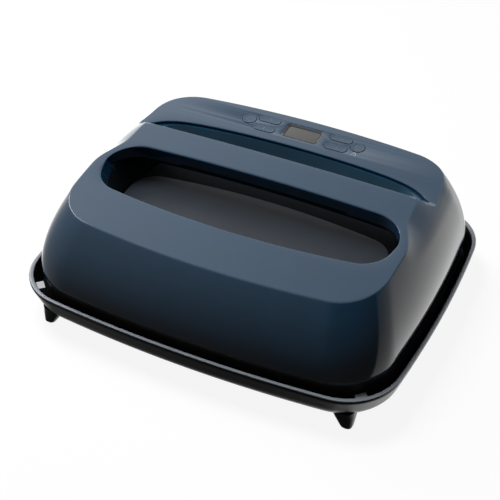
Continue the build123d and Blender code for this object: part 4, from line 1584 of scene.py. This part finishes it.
@dataclass
class PlainParts:
    """The skirt and the grip pad."""

    form: PressForm = PRESS

    def skirt(self) -> None:
        """The dark ring under the shell, with its flange."""
        rows = [(0.7, 24.0), (0.15, 24.3), (0.0, 25.0), (0.0, 43.8), (0.2, 44.25), (0.6, 44.4),
                (1.5, 44.4),
                (1.5, 50.0), (26.5, 50.0), (26.5, 47.0), (4.5, 47.0), (4.5, 41.4), (3.0, 41.4),
                (3.0, 24.6),
                (2.6, 24.0)]
        stack = []
        for inset, z in rows:
            inset += 2.0
            stack.append((Outline(self.form.half_w - inset, inset - self.form.half_d,
                                  self.form.half_d - inset,
                                  self.form.corner - inset), z))
        ring = ring_piece("skirt", SKIRT, stack, True, half_slots(-38.0, 38.0))
        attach(ring, "press")
        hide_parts("skirt_ring")

    def grip_pad(self) -> None:
        """The charcoal floor of the well."""
        stack = []
        for inset, z in ((0.2, 74.0), (0.0, 74.4), (0.0, 75.1), (0.25, 75.45), (0.8, 75.6),
                         (3.0, 75.6)):
            stack.append((Outline(122.0 - inset, inset - 47.0, 26.4 - inset, 22.0 - inset / 2), z))
        pad = ring_piece("grip_pad_soft", GRIP_SOFT, stack, False, half_slots(-14.0, -6.0))
        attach(pad, "press")
        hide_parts("grip_pad")

    def build(self) -> None:
        """Make both."""
        self.skirt()
        self.grip_pad()


# Screws, repeated by Geometry Nodes


@dataclass(frozen=True)
class ScrewGroup:
    """Equal screws in millimetres: node, body, the spots under their heads and how they stand."""

    node: str
    body: str
    shank: float
    spots: tuple[Spot, ...]
    upwards: bool = True
    tilt: float = 0.0


def corners(x: float, y: float, z: float) -> tuple[Spot, ...]:
    """The four spots at plus and minus x and y."""
    return tuple((side * x, end * y, z) for side in (-1, 1) for end in (-1, 1))


SCREWS = (
    ScrewGroup("foot_screws", "base", 11.0, corners(134.5, 116.0, 18.6), upwards=False),
    ScrewGroup("housing_screws", "press", 14.2, tuple(
        (side * x, y, 47.0) for side in (-1, 1) for x,
        y in ((74.4, -113.5), (148.0, 0.0), (74.4, 115.0)))),
    ScrewGroup("standoff_screws", "press", 11.2,
               corners(146.0, 63.0, 51.2) + corners(38.0, 112.0, 51.2),
               upwards=False),
    ScrewGroup("tub_screws", "press", 10.2, corners(95.2, 39.6, 50.0)),
    ScrewGroup("handle_screws", "press", 8.0,
               ((-91.9, 24.1, 98.5), (0.0, 25.4, 98.5), (91.9, 24.1, 98.5))),
    ScrewGroup("power_board_screws", "press", 5.6,
               tuple((x, y, 57.8) for x in (-85.0, 45.0) for y in (82.0, 101.0)),
               upwards=False),
    ScrewGroup("control_board_screws", "press", 5.6, tuple(
        PRESS.on_panel(u, v, -12.2) for u in (-74.5, 74.5) for v in (-13.0, 13.0)),
        tilt=PRESS.panel_slope),
    ScrewGroup("panel_screws", "press", 4.8, tuple(
        PRESS.on_panel(side * u, v, -6.0) for side in (-1, 1) for u,
        v in ((112.0, -14.0), (104.0, 10.0))),
        tilt=PRESS.panel_slope),
)


@dataclass
class ScrewMaker:
    """A node tree that sets a screw on each point of a mesh."""

    head_radius: float = 3.0
    head_height: float = 2.0
    shank_radius: float = 1.5
    socket_radius: float = 1.45
    socket_depth: float = 1.2

    def tree(self) -> bpy.types.GeometryNodeTree:
        """Build the tree once and return it afterwards.

        Returns:
            The node tree with its named inputs.
        """
        ready = bpy.data.node_groups.get("screws")
        if ready:
            return ready
        tree = bpy.data.node_groups.new("screws", "GeometryNodeTree")
        face = tree.interface
        for name, kind in (("Points", "Geometry"), ("Shank", "Float"), ("Turn", "Vector"),
                           ("Finish", "Material")):
            face.new_socket(name, in_out="INPUT", socket_type="NodeSocket" + kind)
        face.new_socket("Screws", in_out="OUTPUT", socket_type="NodeSocketGeometry")
        nodes = Nodes(tree)
        given = nodes.add("NodeGroupInput").outputs
        head = self.cylinder(nodes, 28, self.head_radius * MM, self.head_height * MM,
                             self.head_height / 2 * MM)
        top = (self.head_height - self.socket_depth / 2 + 0.1) * MM
        socket = self.cylinder(nodes, 6, self.socket_radius * MM,
                               (self.socket_depth + 0.2) * MM, top)
        cut = nodes.add("GeometryNodeMeshBoolean")
        cut.operation = "DIFFERENCE"
        nodes.put(cut.inputs[0], head)
        nodes.put(cut.inputs[1], socket)
        drop = nodes.math("MULTIPLY", given["Shank"], -0.5)
        shank = self.cylinder(nodes, 16, self.shank_radius * MM, given["Shank"], drop)
        join = nodes.add("GeometryNodeJoinGeometry")
        for part in (cut.outputs["Mesh"], shank):
            tree.links.new(part, join.inputs[0])
        spread = nodes.add("GeometryNodeInstanceOnPoints", Points=given["Points"],
                           Instance=join.outputs[0], Rotation=given["Turn"])
        real = nodes.add("GeometryNodeRealizeInstances", Geometry=spread.outputs["Instances"])
        done = nodes.add("GeometryNodeSetMaterial", Geometry=real.outputs["Geometry"],
                         Material=given["Finish"])
        nodes.add("NodeGroupOutput", Screws=done.outputs["Geometry"])
        return tree

    def cylinder(self, nodes: Nodes, sides: int, radius: float, depth: Any,
                 middle: Any) -> bpy.types.NodeSocket:
        """A cylinder moved along its axis.

        Args:
            nodes: The tree's helper.
            sides: Its number of sides.
            radius: Its radius in metres.
            depth: Its length, a value or a socket.
            middle: Height of its middle, a value or a socket.

        Returns:
            Its geometry.
        """
        made = nodes.add("GeometryNodeMeshCylinder", Vertices=sides, Radius=radius, Depth=depth)
        place = nodes.add("ShaderNodeCombineXYZ", Z=middle)
        moved = nodes.add("GeometryNodeTransform", Geometry=made.outputs["Mesh"],
                          Translation=place.outputs[0])
        return moved.outputs["Geometry"]

    def group(self, group: ScrewGroup) -> None:
        """Make one group of screws as a plain mesh.

        Args:
            group: Where they stand.
        """
        mesh = bpy.data.meshes.new(group.node + "_spots")
        mesh.from_pydata([tuple(value * MM for value in spot) for spot in group.spots], [], [])
        piece = bpy.data.objects.new(group.node + "_set", mesh)
        bpy.context.scene.collection.objects.link(piece)
        tree = self.tree()
        lean = math.atan(group.tilt) + (math.pi if group.upwards else 0.0)
        values = {"Shank": group.shank * MM, "Turn": (lean, 0.0, 0.0), "Finish": STEEL.material()}
        modifier = piece.modifiers.new("screws", "NODES")
        modifier.node_group = tree
        for item in tree.interface.items_tree:
            if item.in_out == "INPUT" and item.name in values:
                modifier[item.identifier] = values[item.name]
        piece.update_tag()
        depsgraph = bpy.context.evaluated_depsgraph_get()
        made = bpy.data.meshes.new_from_object(piece.evaluated_get(depsgraph), depsgraph=depsgraph)
        piece.modifiers.remove(modifier)
        piece.data = made
        bpy.data.meshes.remove(mesh)
        made.set_sharp_from_angle(angle=SHARP_ANGLE)
        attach(piece, group.body)
        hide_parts(group.node)
        LOG.info("made %s with %d screws", group.node, len(group.spots))

    def build(self) -> None:
        """Make every group."""
        for group in SCREWS:
            self.group(group)


def dress_nodes() -> None:
    """Give every CAD node the finish of its material slot."""
    for entry in frame["record"]["subparts"]:
        node = frame["nodes"][entry["node"]]
        finish = SLOT_FINISH[entry["material_slot"]]
        if not node.data.materials:
            node.data.materials.append(None)
        for number in range(len(node.data.materials)):
            node.data.materials[number] = finish.material()


# Studio


@dataclass
class Studio:
    """Floor, lights and camera, in metres, with the surround that the gloss mirrors.

    The surround's levels were worked out from the reflections on the shell in the photograph,
    then rounded, thinned and altered. Each stop is degrees from the front, right
    positive, and the level there. The slopes say how that level changes with height.
    """

    eye: Spot = (0.3569, -0.7310, 0.7004)
    back: Spot = (0.34556, -0.69546, 0.63001)
    right: Spot = (0.89554, 0.44498, 0.0)
    up: Spot = (-0.28034, 0.56420, 0.77658)
    focal_px: float = 1192.08
    picture_px: float = 500.0
    sensor: float = 36.0
    floor_shade: float = 0.12
    floor_glow: float = 0.9
    floor_half: float = 6.0
    lights_middle: Spot = (0.0, 0.0, 0.08)
    edge_slant: float = 0.25
    overhead: float = 1.0
    overhead_rise: Pair = (48.0, 68.0)
    slope_rise: float = 45.0
    least_gain: float = 0.1
    top_level: float = 3.0
    surround: tuple[Pair, ...] = (
        (-180, 1.0), (-150, 1.75), (-137, 2.3), (-105, 0.8), (-92, 0.6), (-60, 0.5), (-30, 0.3),
        (0, 0.12),
        (88, 0.09), (91, 0.45), (120, 0.65), (165, 1.7), (180, 1.0),
    )
    surround_slope: tuple[Pair, ...] = (
        (-180, 0.0), (-110, 0.0), (-90, 0.5), (-30, 0.7), (20, 0.0), (85, 0.0), (92, -0.7),
        (180, 0.0),
    )

    def camera(self) -> None:
        """The camera at the photograph's angle."""
        data = bpy.data.cameras.new("view")
        data.sensor_width = self.sensor
        data.lens = self.focal_px / self.picture_px * self.sensor
        data.clip_end = 20.0
        camera = bpy.data.objects.new("view", data)
        turn = Matrix((self.right, self.up, self.back)).transposed().to_4x4()
        camera.matrix_world = Matrix.Translation(self.eye) @ turn
        bpy.context.scene.collection.objects.link(camera)
        bpy.context.scene.camera = camera

    def floor(self) -> None:
        """A plain pale floor that keeps a faint shadow of the object."""
        mesh = bpy.data.meshes.new("floor")
        half = self.floor_half
        spots = [(-half, -half, 0), (half, -half, 0), (half, half, 0), (-half, half, 0)]
        mesh.from_pydata(spots, [], [(0, 1, 2, 3)])
        floor = bpy.data.objects.new("floor", mesh)
        bpy.context.scene.collection.objects.link(floor)
        floor.visible_diffuse = floor.visible_glossy = False
        pale = bpy.data.materials.new("floor_pale")
        pale.use_nodes = True
        shader = pale.node_tree.nodes["Principled BSDF"]
        for socket, value in (("Base Color", (*[self.floor_shade] * 3, 1.0)), ("Roughness", 1.0),
                              ("Specular IOR Level", 0.0), ("Emission Color", (1.0, 1.0, 1.0, 1.0)),
                              ("Emission Strength", self.floor_glow)):
            shader.inputs[socket].default_value = value
        mesh.materials.append(pale)

    def light(self, name: str, side: Spot, reach: float, size: Pair, power: float,
              in_gloss: bool = False) -> None:
        """One soft light.

        Args:
            name: Its name.
            side: The direction that it stands in.
            reach: Its distance.
            size: Its width and height.
            power: Watts.
            in_gloss: Whether the gloss shows it.
        """
        data = bpy.data.lights.new(name, "AREA")
        data.shape = "RECTANGLE"
        data.size, data.size_y = size
        data.energy = power
        lamp = bpy.data.objects.new(name, data)
        away = Vector(side).normalized()
        lamp.location = away * reach + Vector(self.lights_middle)
        lamp.rotation_euler = away.to_track_quat("Z", "Y").to_euler()
        lamp.visible_glossy = in_gloss
        bpy.context.scene.collection.objects.link(lamp)

    def around_curve(self, nodes: Nodes, turn: bpy.types.NodeSocket,
                     stops: Sequence[Pair], low: float, high: float) -> bpy.types.NodeSocket:
        """A value that follows the direction round the object.

        Args:
            nodes: The tree's helper.
            turn: The direction as a share of a full turn.
            stops: Degrees from the front, right positive, with the value there.
            low: The lowest value.
            high: The highest value.

        Returns:
            The value.
        """
        ramp = nodes.add("ShaderNodeValToRGB", Fac=turn)
        points = ramp.color_ramp.elements
        while len(points) < len(stops):
            points.new(0.5)
        for point, (degrees, _) in zip(points, stops):
            point.position = (degrees + 180.0) / 360.0
        for point, (_, value) in zip(points, stops):
            share = (value - low) / (high - low)
            point.color = (share, share, share, 1.0)
        return nodes.math("MULTIPLY_ADD", ramp.outputs["Color"], high - low, low)

    def world(self) -> None:
        """The surround: bright behind, dark in front, with a sharp edge at the right."""
        world = bpy.data.worlds.new("surround")
        bpy.context.scene.world = world
        world.use_nodes = True
        world.cycles_visibility.diffuse = False
        nodes = Nodes(world.node_tree)
        place = nodes.add("ShaderNodeTexCoord").outputs["Generated"]
        split = nodes.add("ShaderNodeSeparateXYZ", Vector=place)
        front = nodes.math("MULTIPLY", split.outputs["Y"], -1.0)
        turn = nodes.math("ARCTAN2", split.outputs["X"], front)
        rise = nodes.math("ARCSINE", split.outputs["Z"])
        slant = nodes.math("MULTIPLY_ADD", rise, -self.edge_slant, turn)
        share = nodes.math("MULTIPLY_ADD", slant, 0.5 / math.pi, 0.5)
        level = self.around_curve(nodes, share, self.surround, 0.0, self.top_level)
        slope = self.around_curve(nodes, share, self.surround_slope, -1.0, 1.0)
        climb = nodes.math("MULTIPLY", slope, rise)
        gain = nodes.math("MULTIPLY_ADD", climb, 1.0 / math.radians(self.slope_rise), 1.0)
        side = nodes.math("MULTIPLY", level, nodes.math("MAXIMUM", gain, self.least_gain))
        top = nodes.add("ShaderNodeMapRange", Value=rise)
        top.interpolation_type = "SMOOTHSTEP"
        for name, degrees in zip(("From Min", "From Max"), self.overhead_rise):
            top.inputs[name].default_value = math.radians(degrees)
        mixed = nodes.add("ShaderNodeMix", Factor=top.outputs["Result"], A=side, B=self.overhead)
        seen = nodes.add("ShaderNodeLightPath").outputs["Is Camera Ray"]
        shown = nodes.add("ShaderNodeMix", Factor=seen, A=mixed.outputs["Result"], B=1.0)
        back = world.node_tree.nodes["Background"]
        world.node_tree.links.new(shown.outputs["Result"], back.inputs["Strength"])
        back.inputs["Color"].default_value = (1.0, 1.0, 1.0, 1.0)

    def build(self) -> None:
        """Set the studio up."""
        bpy.context.scene.view_settings.view_transform = "Standard"
        self.camera()
        self.floor()
        self.world()
        self.light("key_left", (-0.35, 0.05, 0.94), 1.5, (0.6, 0.6), 19.0)
        self.light("fill_top", (0.3, 0.5, 1.0), 1.8, (1.2, 1.2), 2.0)
        self.light("left_strip", (-0.71, 0.287, 0.643), 1.2, (0.12, 0.5), 2.6, in_gloss=True)


def main() -> None:
    """Build every piece in order and report it."""
    logging.basicConfig(level=logging.INFO)
    dress_nodes()
    for maker in (Housing(), ControlPanel(), BaseTray(), PlainParts(), ScrewMaker(), Studio()):
        maker.build()
        LOG.info("made all of %s", type(maker).__name__)


if __name__ == "__main__":
    main()
